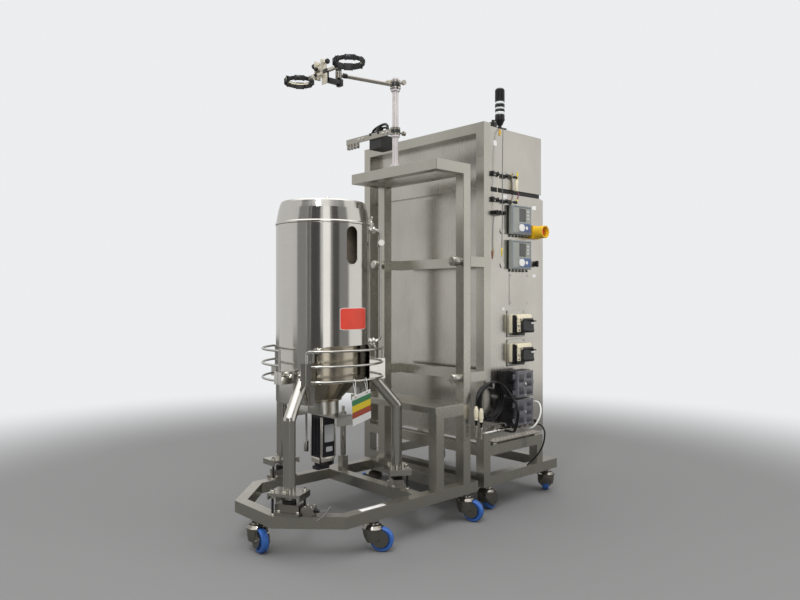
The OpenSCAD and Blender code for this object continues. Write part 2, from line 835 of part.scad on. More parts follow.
module large_pumps() {
    from_vessel() color("#202020")
        for (z = large_pump_levels) translate([cab_x, 924, z]) {
            h = big_pump_h / 2;
            difference() {
                union() {
                    block([0, -58, -h + 6], [30, 58, h - 6]);
                    block([28, -66, -h], [74, 66, h]);
                    for (k = [-1, 1], s = [-1, 1]) door_lug(k * (h - 26) + s * 18.5 - 6);
                }
                for (i = [-2:2]) block([34, -70, i * 22 - 6], [68, -62, i * 22 + 6]);
                rod_x([62, 0, 0], 50, 20);
                rod_x([26, 0, 0], 6.05, 60);
            }
            translate([80, -72, -h + 2]) cylinder(r = 2, h = 2 * h - 4);
        }
}

// Hinge lug of a pump door
module door_lug(z) {
    translate([80, -72, z]) cylinder(r = 5, h = 12);
    block([62, -77, z], [80, -65, z + 12]);
}

// Three-roller rotor that turns behind a large pump's clear cover
module pump_rotor(level) {
    from_vessel() color("gray") translate([cab_x, 924, level]) {
        rod_x([30, 0, 0], 6, 34);
        rod_x([62.5, 0, 0], 34, 5);
        for (a = [0:120:240]) rotate([a, 0, 0]) rod_x([67, 0, 27], 11, 16);
        rod_x([67, 0, 0], 14, 18);
    }
}

module pump_rotor_1() {
    pump_rotor(large_pump_levels[0]);
}

module pump_rotor_2() {
    pump_rotor(large_pump_levels[1]);
}

// Clear door over a large pump's rotor, hinged on its front side
module large_pump_cover(level) {
    from_vessel() color("lightblue", 0.4) translate([cab_x, 924, level]) {
        h = big_pump_h / 2;
        difference() {
            union() {
                block([74.6, -62, -h + 2], [97, 64, h - 2]);
                for (k = [-1, 1]) translate([80, -72, k * (h - 26) - 12]) {
                    cylinder(r = 5, h = 24);
                    block([0, -4, 0], [4, 12, 24]);
                }
            }
            block([70, -59, -h + 5], [94, 61, h - 5]);
            translate([80, -72, -h]) cylinder(r = 2.05, h = 2 * h);
        }
        block([84, 63, -14], [96, 68, 14]);
    }
}

module large_pump_cover_1() {
    large_pump_cover(large_pump_levels[0]);
}

module large_pump_cover_2() {
    large_pump_cover(large_pump_levels[1]);
}

// Rail of gas fittings along the foot of the instrument side
module gas_manifold() {
    from_vessel() color("silver") {
        difference() {
            block([cab_x, 770, 346], [cab_x + 30, 1150, 350]);
            for (i = [0:11]) block([cab_x + 10, 782 + i * 30, 340], [cab_x + 22, 800 + i * 30, 355]);
        }
        block([cab_x, 770, 346], [cab_x + 4, 1150, 420]);
        for (i = [0:7]) translate([cab_x + 3, 800 + i * 44, 396]) {
            rotate([0, 90, 0]) cylinder(r = 11, h = 10, $fn = 6);
            rod_x([9, 0, 0], 7, 16);
            rod_x([24, 0, 0], 9, 8);
            if (i % 2 == 0) translate([18, 0, 4]) cylinder(r = 5, h = 20);
        }
    }
}

module tower_light() {
    from_vessel() color("#202020") translate([cab_x - 16, 863, upper_top]) {
        block([-22, -30, 0], [22, 30, 5]);
        cylinder(r = 9, h = 24);
        translate([0, 0, 22]) turned([
            [0, 0], [22, 0], [22, 22], [20, 24], [20, 60], [22, 61], [22, 66], [20, 67], [20, 103],
            [22, 104], [22, 109], [20, 110], [20, 146], [22, 147], [22, 160], [17, 176], [8, 184], [0, 186]
        ]);
    }
}

// Two jointed arms with a sample tube holder between them
module sensor_arms() {
    from_vessel() color("#202020") translate([cab_x, 0, 0]) {
        for (z = [1668, 1541]) {
            block([0, 762, z - 14], [26, 786, z + 14]);
            rod_y([18, 785, z], 6, 165);
            rod_y([18, 868, z], 11, 50);
        }
        block([6, 944, 1545], [30, 966, 1682]);
        translate([18, 950, 1531]) cylinder(r = 5, h = 24);
        block([0, 766, 1462], [22, 850, 1490]);
        for (y = [782, 806, 842]) rod_x([20, y, 1476], 8, 16);
    }
}

// ---- casters ----

// Domed hood that turns on the stem, with the wheel's axle across it
module caster_hood(i) {
    c = casters[i];
    from_vessel() color("lightgray") translate([c[0], c[1], 0]) rotate([0, 0, c[2]]) {
        difference() {
            union() {
                turned([
                    [0, 44], [hood_r - 5, 44], [hood_r - 1, 64], [hood_r, 92], [hood_r + 3, 94],
                    [hood_r + 3, 99], [hood_r - 1, 102], [hood_r - 9, 110], [26, 113], [24, 118], [0, 118]
                ]);
                for (y = [-26.5, 18.5]) rod_y([caster_trail - 5, y, wheel_r + 7], 36, 8);
            }
            rod_y([caster_trail, -18.5, wheel_r], wheel_r + 4, 37);
            translate([0, 0, stem_end_z - 1]) cylinder(r = 8.05, h = 30);
            translate([-60, -60, 0]) rotate([0, -35, 0]) cube([60, 120, 60]);
        }
        rod_y([caster_trail, -29, wheel_r], 6, 58);
    }
}

// Wheel with a rounded polyurethane tyre and a webbed hub
module caster_wheel(i) {
    c = casters[i];
    h = wheel_w / 2;
    from_vessel() color("royalblue") translate([c[0], c[1], 0]) rotate([0, 0, c[2]])
        translate([caster_trail, 0, wheel_r]) rotate([90, 0, 0]) turned([
            [6.05, -h], [15, -h], [16, -8], [33, -8], [35, -h + 1], [wheel_r - 5, -h], [wheel_r - 1, -h + 5],
            [wheel_r, -4], [wheel_r, 4], [wheel_r - 1, h - 5], [wheel_r - 5, h], [35, h - 1], [33, 8],
            [16, 8], [15, h], [6.05, h]
        ]);
}

// ---- cables and tubing ----

// A point on the smooth curve through p, t of the way from p[i] to p[i + 1]
function curve_at(p, i, t) =
    let (
        n = len(p) - 1,
        a = p[max(i - 1, 0)], b = p[i], c = p[i + 1], d = p[min(i + 2, n)]
    )
    0.5 * (2 * b + (c - a) * t + (2 * a - 5 * b + 4 * c - d) * t * t + (3 * b - a - 3 * c + d) * t * t * t);

function smooth(p, steps) =
    concat([for (i = [0:len(p) - 2], k = [0:steps - 1]) curve_at(p, i, k / steps)], [p[len(p) - 1]]);

function unit(v) = v / norm(v);

// A tube swept along points; across is any direction that the route never runs along
module cord(route, r, steps, across, sides = 8) {
    p = smooth(route, steps);
    n = len(p);
    dirs = [for (i = [0:n - 1]) unit(p[min(i + 1, n - 1)] - p[max(i - 1, 0)])];
    side_dir = [for (d = dirs) unit(cross(d, across))];
    rings = [for (i = [0:n - 1], k = [0:sides - 1])
        let (a = k * 360 / sides, u = side_dir[i], v = cross(dirs[i], side_dir[i]))
        p[i] + r * (u * cos(a) + v * sin(a))];
    walls = [for (i = [0:n - 2], k = [0:sides - 1])
        let (m = (k + 1) % sides, a = i * sides, b = a + sides)
        each [[a + k, b + k, b + m], [a + k, b + m, a + m]]];
    caps = [[for (k = [0:sides - 1]) k], [for (k = [sides - 1:-1:0]) (n - 1) * sides + k]];
    polyhedron(points = rings, faces = concat(walls, caps), convexity = 6);
}

coil_centre = [376, 718, 555];
coil_r = 85;
lead_route = [
    [380, 722, 648], [393, 757, 645], [411, 785, 626], [436, 801, 588], [460, 811, 546], [471, 815, 504],
    [466, 817, 463], [454, 821, 428], [438, 830, 406], [418, 843, 397], [396, 844, 396], [371.05, 844, 396]
];
tubing_route = [
    [390, 990.05, 520], [390, 1003, 520], [401, 1024, 527], [432, 1032, 524], [456, 1021, 494],
    [459, 1003, 450], [440, 982, 408], [404, 976, 396], [371.05, 976, 396]
];
sensor_route = [
    [342, 850, 1907], [352, 847, 1902], [360, 838, 1880], [366, 828, 1800], [368, 824, 1640],
    [368, 824, 1476], [366, 824, 1380], [364, 824, 1290]
];
probe_route = [[350, 782, 1462], [349, 778, 1440], [348, 774, 1400], [346, 772, 1340], [346, 772, 1276]];
power_route = [
    [371.05, 1108, 396], [384, 1108, 396], [395, 1111, 378], [394, 1113, 334], [380, 1101, 272],
    [350, 1078, 214], [330, 1066, 181.5]
];
connector_routes = [
    [[386, 641, 590], [391, 616, 574], [390, 602, 560], [390, 602, 546]],
    [[389, 634, 581], [400, 626, 562], [404, 622, 548], [404, 622, 536]]
];

module cable_coil() {
    from_vessel() color("#202020") translate(coil_centre) rotate([0, 90, 0])
        rotate_extrude($fn = 64) translate([coil_r, 0]) circle(r = 13, $fn = 24);
}

module coil_lead() {
    from_vessel() color("#202020") cord(lead_route, 8.5, 2, [-0.5, 0.75, 0.3]);
}

module coil_connectors() {
    from_vessel() color("cornsilk")
        for (route = connector_routes) translate(route[3] - [0, 0, 0.3]) mirror([0, 0, 1]) {
            cylinder(r = 8, h = 66);
            translate([0, 0, 14]) cylinder(r = 11, h = 40);
            cylinder(r = 5, h = 94);
            translate([0, 0, 92]) cylinder(r = 7.5, h = 54);
        }
}

module pump_tubing() {
    from_vessel() color("white") cord(tubing_route, 4, 2, [0.6, -0.5, 0.62]);
}

// Two sensor leads, the power lead at the cabinet's foot and the tails of the coiled cable
module hanging_leads() {
    from_vessel() color("#303030") {
        cord(sensor_route, 2, 2, [0.3, 1, 0.1]);
        cord(probe_route, 2, 2, [1, 0.3, 0.1]);
        for (route = connector_routes) cord(route, 4.3, 2, [1, 0.3, 0.1]);
        cord(power_route, 4, 2, [0.6, -0.75, 0.2]);
    }
}

vessel_cart_frame();
tall_stand();
docking_frame();
vessel_jacket();
inner_vessel();
drive_housing();
vessel_legs();
load_cells();
drive_motor();
magnet_rotor();
hose_rails();
holder_pole();
holder_arm();
ring_holder();
ring_jaw_1();
ring_jaw_2();
tray_rail();
clamp_tray();
cabinet_cart_frame();
lower_cabinet();
upper_cabinet();
rear_door();
transmitters();
estop_shroud();
estop_button();
selector_switch();
small_pumps();
small_pump_cover_1();
small_pump_cover_2();
large_pumps();
pump_rotor_1();
pump_rotor_2();
large_pump_cover_1();
large_pump_cover_2();
gas_manifold();
tower_light();
sensor_arms();
caster_hood(0);  // caster_hood_1
caster_hood(1);  // caster_hood_2
caster_hood(2);  // caster_hood_3
caster_hood(3);  // caster_hood_4
caster_hood(4);  // caster_hood_5
caster_hood(5);  // caster_hood_6
caster_hood(6);  // caster_hood_7
caster_hood(7);  // caster_hood_8
caster_hood(8);  // caster_hood_9
caster_wheel(0);  // caster_wheel_1
caster_wheel(1);  // caster_wheel_2
caster_wheel(2);  // caster_wheel_3
caster_wheel(3);  // caster_wheel_4
caster_wheel(4);  // caster_wheel_5
caster_wheel(5);  // caster_wheel_6
caster_wheel(6);  // caster_wheel_7
caster_wheel(7);  // caster_wheel_8
caster_wheel(8);  // caster_wheel_9
cable_coil();
coil_lead();
coil_connectors();
pump_tubing();
hanging_leads();
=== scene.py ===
"""Pilot-scale bioreactor: materials, surface detail, cords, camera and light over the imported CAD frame.

Positions are in millimetres from the vessel's axis on the floor, as in part.scad, and at() turns
them into metres in the shared frame.
"""
import json
from math import asin, cos, pi, radians, sin, sqrt

import bmesh
import bpy
from mathutils import Matrix, Vector


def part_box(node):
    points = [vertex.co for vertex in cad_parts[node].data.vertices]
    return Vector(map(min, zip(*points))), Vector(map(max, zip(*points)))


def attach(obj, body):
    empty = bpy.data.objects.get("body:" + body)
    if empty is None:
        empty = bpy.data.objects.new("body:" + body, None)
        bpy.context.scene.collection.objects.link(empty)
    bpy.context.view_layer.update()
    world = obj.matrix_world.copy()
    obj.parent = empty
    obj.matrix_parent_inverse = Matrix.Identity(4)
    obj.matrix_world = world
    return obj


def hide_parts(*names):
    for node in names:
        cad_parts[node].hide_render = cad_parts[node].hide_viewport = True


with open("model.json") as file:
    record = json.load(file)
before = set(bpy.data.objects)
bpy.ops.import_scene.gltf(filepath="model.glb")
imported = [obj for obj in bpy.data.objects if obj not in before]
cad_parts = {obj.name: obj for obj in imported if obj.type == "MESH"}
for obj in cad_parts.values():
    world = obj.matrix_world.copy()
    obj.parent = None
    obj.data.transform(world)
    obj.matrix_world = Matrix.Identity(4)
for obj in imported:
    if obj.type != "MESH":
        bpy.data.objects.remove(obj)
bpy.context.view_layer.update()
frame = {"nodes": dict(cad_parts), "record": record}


# ---- places, as part.scad has them ----

LOW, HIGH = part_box("inner_vessel")
AXIS = (LOW + HIGH) / 2
X, Y, Z, FOOT = (1, 0, 0), (0, 1, 0), (0, 0, 1), (0, 0, 0)

CART_TOP = 180
LEG_ANGLES, LEG_R = (-60, 60, 180), 340
WALL_R = 209                      # middle of the jacket's sheet
SHOULDER_Z = 1386
PIPE_ANGLE, PIPE_ENDS = 57, (858, 1368)
CAB_X = 336                       # instrument face of the cabinet
TRANSMITTER_Y, TRANSMITTERS = 988, (1276, 1454)
SMALL_PUMP_Y, SMALL_PUMPS = 976, (924, 777)
LARGE_PUMP_Y, LARGE_PUMPS = 924, (628, 488)
SENSOR_ARMS = (1668, 1541)
TOWER_Y, CAB_TOP = 863, 1905
PORT_X, PORT_Z = 371.05, 396      # mouths of the manifold's ports
LANCE = (372, 0, 405)             # on the line of the manifold's rod
POLE_X, POLE_Y = 57, 390
ARM_END_X, ARM_END_Y = -6, 92
RINGS = ((163, 90), (-217, -90))  # each ring's middle along X, and its turn in degrees
RING_Y, RING_Z, RING_R = 20, 2090, 58


def at(x, y, z):
    """A point in metres from millimetres measured from the vessel's axis on the floor."""
    return Vector((AXIS.x + x / 1000, AXIS.y + y / 1000, z / 1000))


# ---- camera ----

EYE = (2526, -1855, 1065)
LOOK = (-0.7354, 0.6779, 0)


def make_camera():
    data = bpy.data.cameras.new("camera")
    data.sensor_width = 36
    data.lens = 30.915
    data.shift_y = -0.005
    data.clip_end = 60
    cam = bpy.data.objects.new("camera", data)
    cam.location = at(*EYE)
    cam.rotation_euler = Vector(LOOK).to_track_quat("-Z", "Y").to_euler()
    bpy.context.collection.objects.link(cam)
    bpy.context.scene.camera = cam


make_camera()


# ---- node trees ----

class Tree:
    """A node tree emptied of its nodes, with short ways to add and join new ones."""

    def __init__(self, owner):
        owner.use_nodes = True
        self.tree = owner.node_tree
        self.tree.nodes.clear()

    def add(self, kind, *constants, **props):
        """A new shader node; constants fill its first inputs."""
        node = self.tree.nodes.new("ShaderNode" + kind)
        for key, value in props.items():
            setattr(node, key, value)
        for socket, value in zip(node.inputs, constants):
            socket.default_value = value
        return node

    def link(self, a, b):
        self.tree.links.new(a, b)

    def math(self, operation, a, b):
        node = self.add("Math", operation=operation)
        self.link(a, node.inputs[0])
        self.link(b, node.inputs[1])
        return node.outputs[0]

    def blend(self, fac, a, b):
        """Shader a where fac is 0 and shader b where it is 1."""
        node = self.add("MixShader")
        for socket, output in zip(node.inputs, (fac, a, b)):
            self.link(output, socket)
        return node.outputs[0]

    def spread(self, value, low, high, start=0.3, stop=0.7, **props):
        """Maps start..stop onto low..high."""
        node = self.add("MapRange", **props)
        for i, end in enumerate((start, stop, low, high)):
            node.inputs[i + 1].default_value = end
        self.link(value, node.inputs[0])
        return node.outputs[0]


class Nodes(Tree):
    """A material with the Principled shader's constants set on its own sockets."""

    def __init__(self, name, **constants):
        self.material = bpy.data.materials.new(name)
        super().__init__(self.material)
        self.shader = self.add("BsdfPrincipled")
        self.link(self.shader.outputs[0], self.add("OutputMaterial").inputs[0])
        for key, value in constants.items():
            self.shader.inputs[key].default_value = value

    def noise(self, scale, detail=4, rough=0.6, distortion=0.0):
        """Noise in object coordinates; a big number is a fine grain across that axis."""
        mapping = self.add("Mapping")
        mapping.inputs["Scale"].default_value = scale
        self.link(self.add("TexCoord").outputs["Object"], mapping.inputs["Vector"])
        node = self.add("TexNoise")
        for key, value in (("Scale", 1), ("Detail", detail), ("Roughness", rough), ("Distortion", distortion)):
            node.inputs[key].default_value = value
        self.link(mapping.outputs[0], node.inputs["Vector"])
        return node.outputs["Fac"]

    def ramp(self, fac, stops, interpolation="LINEAR"):
        node = self.add("ValToRGB")
        band = node.color_ramp
        band.interpolation = interpolation
        while len(band.elements) < len(stops):
            band.elements.new(0.5)
        for element, (place, colour) in zip(band.elements, stops):
            element.position = place
            element.color = (*colour, 1)
        self.link(fac, node.inputs[0])
        return node.outputs[0]

    def mix(self, fac, a, b):
        """Colour socket a towards the plain colour b."""
        node = self.add("Mix", data_type="RGBA", blend_type="MIX")
        self.link(fac, node.inputs[0])
        self.link(a, node.inputs[6])
        node.inputs[7].default_value = (*b, 1)
        return node.outputs[2]

    def bump(self, height, strength, distance):
        node = self.add("Bump")
        node.inputs["Strength"].default_value = strength
        node.inputs["Distance"].default_value = distance
        self.link(height, node.inputs["Height"])
        self.link(node.outputs[0], self.shader.inputs["Normal"])

    def colour(self, socket):
        self.link(socket, self.shader.inputs["Base Color"])

    def roughness(self, socket):
        self.link(socket, self.shader.inputs["Roughness"])


# ---- materials ----

GRAINS = {
    "x": (4, 420, 420), "y": (420, 4, 420), "z": (420, 420, 4), "round": (9, 9, 420), "fine": (330, 330, 330),
}


def shade(colour, factor):
    return tuple(min(1.0, c * factor) for c in colour)


def steel(name, colour, rough, grain="fine", streak=0.10, smudge=0.10, bump=0.05):
    """Stainless sheet or tube: brushed streaks over slow smudges in both colour and gloss."""
    n = Nodes(name, Metallic=1.0)
    brushed = n.noise(GRAINS[grain], detail=5, rough=0.75)
    coarse = n.noise(tuple(s * 0.22 for s in GRAINS[grain]), detail=3)
    slow = n.noise((3.1, 2.7, 2.2), detail=3, rough=0.55, distortion=0.4)
    tone = n.ramp(brushed, [(0.25, shade(colour, 1 - streak)), (0.75, shade(colour, 1 + streak))])
    tone = n.mix(n.spread(coarse, 0, 0.5), tone, shade(colour, 1 - 0.6 * streak))
    tone = n.mix(n.spread(slow, 0, 0.75), tone, shade(colour, 1 - smudge))
    n.colour(tone)
    gloss = n.spread(brushed, rough - 0.03, rough + 0.05)
    n.roughness(n.math("ADD", gloss, n.spread(slow, -0.03, 0.05)))
    n.bump(brushed, bump, 0.0003)
    return n.material


def moulded(name, colour, rough, mottle=0.12, pebble=900, bump=0.12, **constants):
    """Moulded or coated surface with a fine texture, faint mottling and handling marks."""
    n = Nodes(name, **constants)
    skin = n.noise((pebble,) * 3, detail=3)
    slow = n.noise((14, 13, 11), detail=4, rough=0.65)
    n.colour(n.ramp(slow, [(0.3, shade(colour, 1 - mottle)), (0.72, shade(colour, 1 + mottle))]))
    n.roughness(n.math("ADD", n.spread(slow, rough - 0.05, rough + 0.07), n.spread(skin, -0.03, 0.03)))
    n.bump(skin, bump, 0.0002)
    return n.material


def clear(name, tint, rough, through):
    """Smoked clear moulding that lets part of the light through."""
    n = Nodes(name, **{"Transmission Weight": through, "IOR": 1.45})
    haze = n.noise((22, 22, 18), detail=4)
    n.colour(n.ramp(haze, [(0.3, shade(tint, 0.93)), (0.8, tint)]))
    n.roughness(n.spread(haze, rough, rough + 0.08))
    return n.material


M = {
    "cart_steel": steel("cart_satin", (0.56, 0.545, 0.495), 0.27, smudge=0.20),
    "jacket_steel": steel("jacket_brushed", (0.68, 0.67, 0.64), 0.12, "round", 0.07, 0.08, 0.02),
    "tank_steel": steel("tank_warm", (0.56, 0.51, 0.42), 0.20, "round", 0.12, 0.16),
    "plate_steel": steel("plate_machined", (0.58, 0.57, 0.53), 0.26, "x", 0.10, 0.12),
    "leg_steel": steel("leg_polished", (0.62, 0.61, 0.57), 0.14, "z", 0.10, 0.10, 0.02),
    "load_cell_metal": steel("load_cell_cast", (0.44, 0.42, 0.39), 0.36, "fine", 0.22, 0.24),
    "motor_black": moulded("motor_enamel", (0.012, 0.012, 0.018), 0.33),
    "rotor_metal": steel("rotor_machined", (0.46, 0.45, 0.43), 0.27, "round", 0.14),
    "rail_steel": steel("rail_polished", (0.70, 0.69, 0.66), 0.12, "fine", 0.05, 0.06, 0.02),
    "pole_metal": moulded("pole_satin", (0.70, 0.655, 0.66), 0.24, 0.06, 300, 0.04, Metallic=0.35),
    "arm_metal": steel("arm_satin", (0.50, 0.48, 0.44), 0.27, "y", 0.10, 0.14),
    "clamp_black": moulded("clamp_nylon", (0.018, 0.018, 0.019), 0.34),
    "tray_black": moulded("tray_powdercoat", (0.022, 0.022, 0.023), 0.46, pebble=500, bump=0.3),
    "cabinet_steel": steel("cabinet_brushed", (0.62, 0.60, 0.56), 0.24, "z", 0.05, 0.24, 0.03),
    "transmitter_grey": moulded("transmitter_coat", (0.315, 0.33, 0.305), 0.36, 0.06, 600, 0.2),
    "shroud_yellow": moulded("shroud_nylon", (0.82, 0.50, 0.02), 0.36),
    "button_red": moulded("button_nylon", (0.62, 0.045, 0.02), 0.30),
    "switch_black": moulded("switch_nylon", (0.016, 0.016, 0.018), 0.30),
    "pump_cream": moulded("pump_case", (0.74, 0.66, 0.45), 0.42, pebble=600, bump=0.2),
    "cover_black": moulded("cover_nylon", (0.014, 0.014, 0.016), 0.28),
    "pump_black": moulded("pump_body", (0.015, 0.015, 0.018), 0.36, pebble=500, bump=0.25),
    "cover_clear": clear("cover_smoke", (0.40, 0.40, 0.45), 0.12, 0.72),
    "fitting_steel": steel("fitting_turned", (0.66, 0.64, 0.60), 0.22, streak=0.12),
    "tower_black": moulded("tower_nylon", (0.014, 0.014, 0.016), 0.30),
    "sensor_black": moulded("sensor_nylon", (0.016, 0.016, 0.017), 0.32),
    "caster_steel": steel("caster_pressed", (0.36, 0.345, 0.315), 0.14, "fine", 0.12, 0.18, 0.02),
    "tyre_blue": moulded("tyre_polyurethane", (0.035, 0.125, 0.42), 0.28, 0.18, 300, 0.2),
    "cable_black": moulded("cable_sheath", (0.006, 0.006, 0.007), 0.13, pebble=300, bump=0.02),
    "connector_cream": moulded("connector_nylon", (0.72, 0.67, 0.52), 0.38),
    "tubing_white": moulded("tubing_silicone", (0.86, 0.86, 0.84), 0.30, mottle=0.05),
    "lead_grey": moulded("lead_sheath", (0.16, 0.155, 0.15), 0.30),
}
BRASS = steel("brass_fitting", (0.70, 0.50, 0.20), 0.26, smudge=0.12)
WHITE = moulded("white_enamel", (0.84, 0.84, 0.83), 0.34, mottle=0.05)
RED_CARD = moulded("red_placard", (0.70, 0.06, 0.035), 0.38, mottle=0.07)
YELLOW_TIP = moulded("yellow_sleeve", (0.78, 0.62, 0.05), 0.36)
BROWN_TIP = moulded("brown_sleeve", (0.23, 0.06, 0.03), 0.40)
SCREEN = moulded("display_glass", (0.085, 0.088, 0.088), 0.16, 0.18, 60, 0.02)
KEYPAD = moulded("keypad_film", (0.075, 0.125, 0.28), 0.34, mottle=0.08)
GASKET = moulded("gasket_rubber", (0.010, 0.010, 0.010), 0.55, pebble=400)
IVORY = moulded("ivory_case", (0.80, 0.74, 0.56), 0.34, mottle=0.08)
BARE_PLATE = moulded("bare_plate", (0.36, 0.37, 0.37), 0.42, mottle=0.05)
SMOKE = moulded("pump_cover_smoke", (0.045, 0.046, 0.055), 0.22, mottle=0.10)
FROST = moulded("tower_lens", (0.72, 0.74, 0.76), 0.18, 0.05, 200, 0.05)
TANK_VIEW = moulded("sight_glass", (0.20, 0.172, 0.135), 0.14, 0.40, 90, 0.02)
VIOLET = moulded("sample_tube", (0.22, 0.07, 0.13), 0.30)
BLACK = moulded("black_oxide", (0.014, 0.014, 0.015), 0.36)
IVORY_STEEL = moulded("bracket_satin", (0.62, 0.58, 0.48), 0.26, mottle=0.08, Metallic=0.45)
POLISHED = steel("bracket_polished", (0.80, 0.78, 0.72), 0.20, "fine", 0.06, 0.08, 0.02)


def dress_nodes():
    """Give every CAD node the finish of its slot."""
    slots = {s["node"]: s["material_slot"] for s in frame["record"]["subparts"]}
    for node, obj in frame["nodes"].items():
        if not obj.material_slots:
            obj.data.materials.append(M[slots[node]])
        for s in obj.material_slots:
            s.material = M[slots[node]]


# ---- meshes and curves ----

def add_object(name, data, material):
    obj = bpy.data.objects.new(name, data)
    data.materials.append(material)
    bpy.context.collection.objects.link(obj)
    return obj


def add_mesh(name, bm, material):
    mesh = bpy.data.meshes.new(name)
    bm.to_mesh(mesh)
    bm.free()
    return add_object(name, mesh, material)


def make_piece(name, material, slot, *shapes, body="root", sharp=35):
    """A mesh piece of (function, arguments...) shapes, in a material or one of M's."""
    bm = bmesh.new()
    for shape, *values in shapes:
        shape(bm, *values)
    bmesh.ops.recalc_face_normals(bm, faces=bm.faces)
    obj = add_mesh(name, bm, M.get(material, material))
    for face in obj.data.polygons:
        face.use_smooth = True
    obj.data.set_sharp_from_angle(angle=radians(sharp))
    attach(obj, body)
    return obj


def skin(bm, rows, around=True):
    """Quads between neighbouring rows of vertices; around also joins each row's end to its start."""
    for a, b in zip(rows, rows[1:]):
        for k in range(len(a) if around else len(a) - 1):
            n = (k + 1) % len(a)
            bm.faces.new((a[k], b[k], b[n], a[n]))


def closed_skin(bm, rows):
    """A skin round the rows with a face on the first and the last of them."""
    skin(bm, rows)
    bm.faces.new(rows[0])
    bm.faces.new(rows[-1])


def lathe(bm, profile, place, direction=Z, steps=40):
    """Turn [radius, height] points in millimetres about an axis through place (metres)."""
    spin = Vector(direction).to_track_quat("Z", "Y").to_matrix().to_4x4()
    spin.translation = place
    rings = []
    for i in range(steps):
        a = radians(360 * i / steps)
        rings.append([
            bm.verts.new(spin @ Vector((r / 1000 * cos(a), r / 1000 * sin(a), h / 1000)))
            for r, h in profile
        ])
    skin(bm, rings + rings[:1], around=False)
    for k in (0, len(profile) - 1):
        if profile[k][0] > 0:
            bm.faces.new([ring[k] for ring in rings])
    bmesh.ops.remove_doubles(bm, verts=bm.verts, dist=1e-6)
    bmesh.ops.dissolve_degenerate(bm, edges=bm.edges, dist=1e-7)


def rod(bm, start, axis, length, r, chamfer=0.8, steps=20):
    """A turned rod from a point in millimetres, with chamfered ends."""
    c = min(chamfer, length / 3, r / 3)
    profile = [(0, 0), (r - c, 0), (r, c), (r, length - c), (r - c, length), (0, length)]
    lathe(bm, profile, at(*start), axis, steps)


def hexagon(bm, place, direction, across, height):
    """A chamfered nut or bolt head."""
    r = across / sqrt(3)
    profile = [(0, 0), (r * 0.94, 0), (r, height * 0.12), (r, height * 0.88), (r * 0.9, height), (0, height)]
    lathe(bm, profile, place, direction, steps=6)


def brick(bm, low, high, edge=1.0, turn=None):
    """A box between two corners in millimetres, with rounded edges, turned by turn @ point."""
    a, b = Vector(low), Vector(high)
    size, mid = b - a, (a + b) / 2
    made = bmesh.ops.create_cube(bm, size=1)["verts"]
    for v in made:
        p = v.co * size + mid
        v.co = at(*(turn @ p if turn else p))
    if edge:
        edges = list({e for v in made for e in v.link_edges})
        bmesh.ops.bevel(bm, geom=edges, offset=edge / 1000, segments=2, affect="EDGES", profile=0.5)


def rounded(bm, mid, u, v, width, height, corner, depth):
    """A thin plate with rounded corners; u and v are its width and height directions."""
    mid, u, v = Vector(mid), Vector(u), Vector(v)
    out = u.cross(v)
    outline = []
    for k in range(4):
        cx = (width / 2 - corner) * (1 if k in (0, 3) else -1)
        cy = (height / 2 - corner) * (1 if k in (0, 1) else -1)
        for i in range(7):
            a = radians(90 * k + 15 * i)
            outline.append((cx + corner * cos(a), cy + corner * sin(a)))
    rows = []
    for inset, h in ((0, 0), (0, depth * 0.7), (min(0.4, depth * 0.3), depth)):
        k = 1 - 2 * inset / max(width, height)
        rows.append([bm.verts.new(at(*(mid + u * x * k + v * y * k + out * h))) for x, y in outline])
    closed_skin(bm, rows)


def moved(origin, point):
    return [a + b for a, b in zip(origin, point)]


def bricks(origin, *rows):
    """Brick shapes from rows of low corner, high corner and edge, measured from origin."""
    return [(brick, moved(origin, row[:3]), moved(origin, row[3:6]), row[6]) for row in rows]


def rods(origin, *rows):
    """Rod shapes from rows of start, axis, length, radius and the rest, measured from origin."""
    return [(rod, moved(origin, row[:3]), *row[3:]) for row in rows]


def plates(origin, *rows):
    """Rounded plates that face along X, from rows of middle, width, height, corner and depth."""
    return [(rounded, moved(origin, row[:3]), Y, Z, *row[3:]) for row in rows]


def wires(origin, *rows):
    """Wire shapes from rows of radius, sides and points, measured from origin."""
    return [(wire, [moved(origin, p) for p in points], radius, sides) for radius, sides, *points in rows]


def smooth_path(points, steps):
    """Catmull-Rom curve through the points."""
    p = [Vector(q) for q in points]
    out = []
    for i in range(len(p) - 1):
        a, b, c, d = p[max(i - 1, 0)], p[i], p[i + 1], p[min(i + 2, len(p) - 1)]
        for k in range(steps):
            t = k / steps
            out.append(0.5 * (2 * b + (c - a) * t + (2 * a - 5 * b + 4 * c - d) * t * t
                              + (3 * b - a - 3 * c + d) * t ** 3))
    out.append(p[-1])
    return out


def even(points, gap):
    """The same line with points a steady gap apart."""
    out = [points[0]]
    spare = 0.0
    for a, b in zip(points, points[1:]):
        step = (b - a).length
        while spare + step >= gap:
            t = (gap - spare) / step
            a = a.lerp(b, t)
            step = (b - a).length
            spare = 0.0
            out.append(a)
        spare += step
    if (points[-1] - out[-1]).length <= gap * 0.3:
        out.pop()
    return out + [points[-1]]


def tube(bm, line, radius, sides=10):
    """A tube along closely spaced points."""
    rows = []
    side = None
    for i, p in enumerate(line):
        d = (line[min(i + 1, len(line) - 1)] - line[max(i - 1, 0)]).normalized()
        if side is None:
            side = d.orthogonal().normalized()
        side = (side - d * side.dot(d)).normalized()
        other = d.cross(side)
        rows.append([
            bm.verts.new(at(*(p + radius * (side * cos(t) + other * sin(t)))))
            for t in (2 * pi * k / sides for k in range(sides))
        ])
    closed_skin(bm, rows)


def wire(bm, points, radius, sides=10):
    """A tube along a curve through the points."""
    tube(bm, even(smooth_path(points, 8), 3 * radius), radius, sides)


# ---- cords ----

COIL = (376, 718, 555)
COIL_R = 85
CABLE_R, LEAD_R, HOSE_R = 4.3, 2, 4


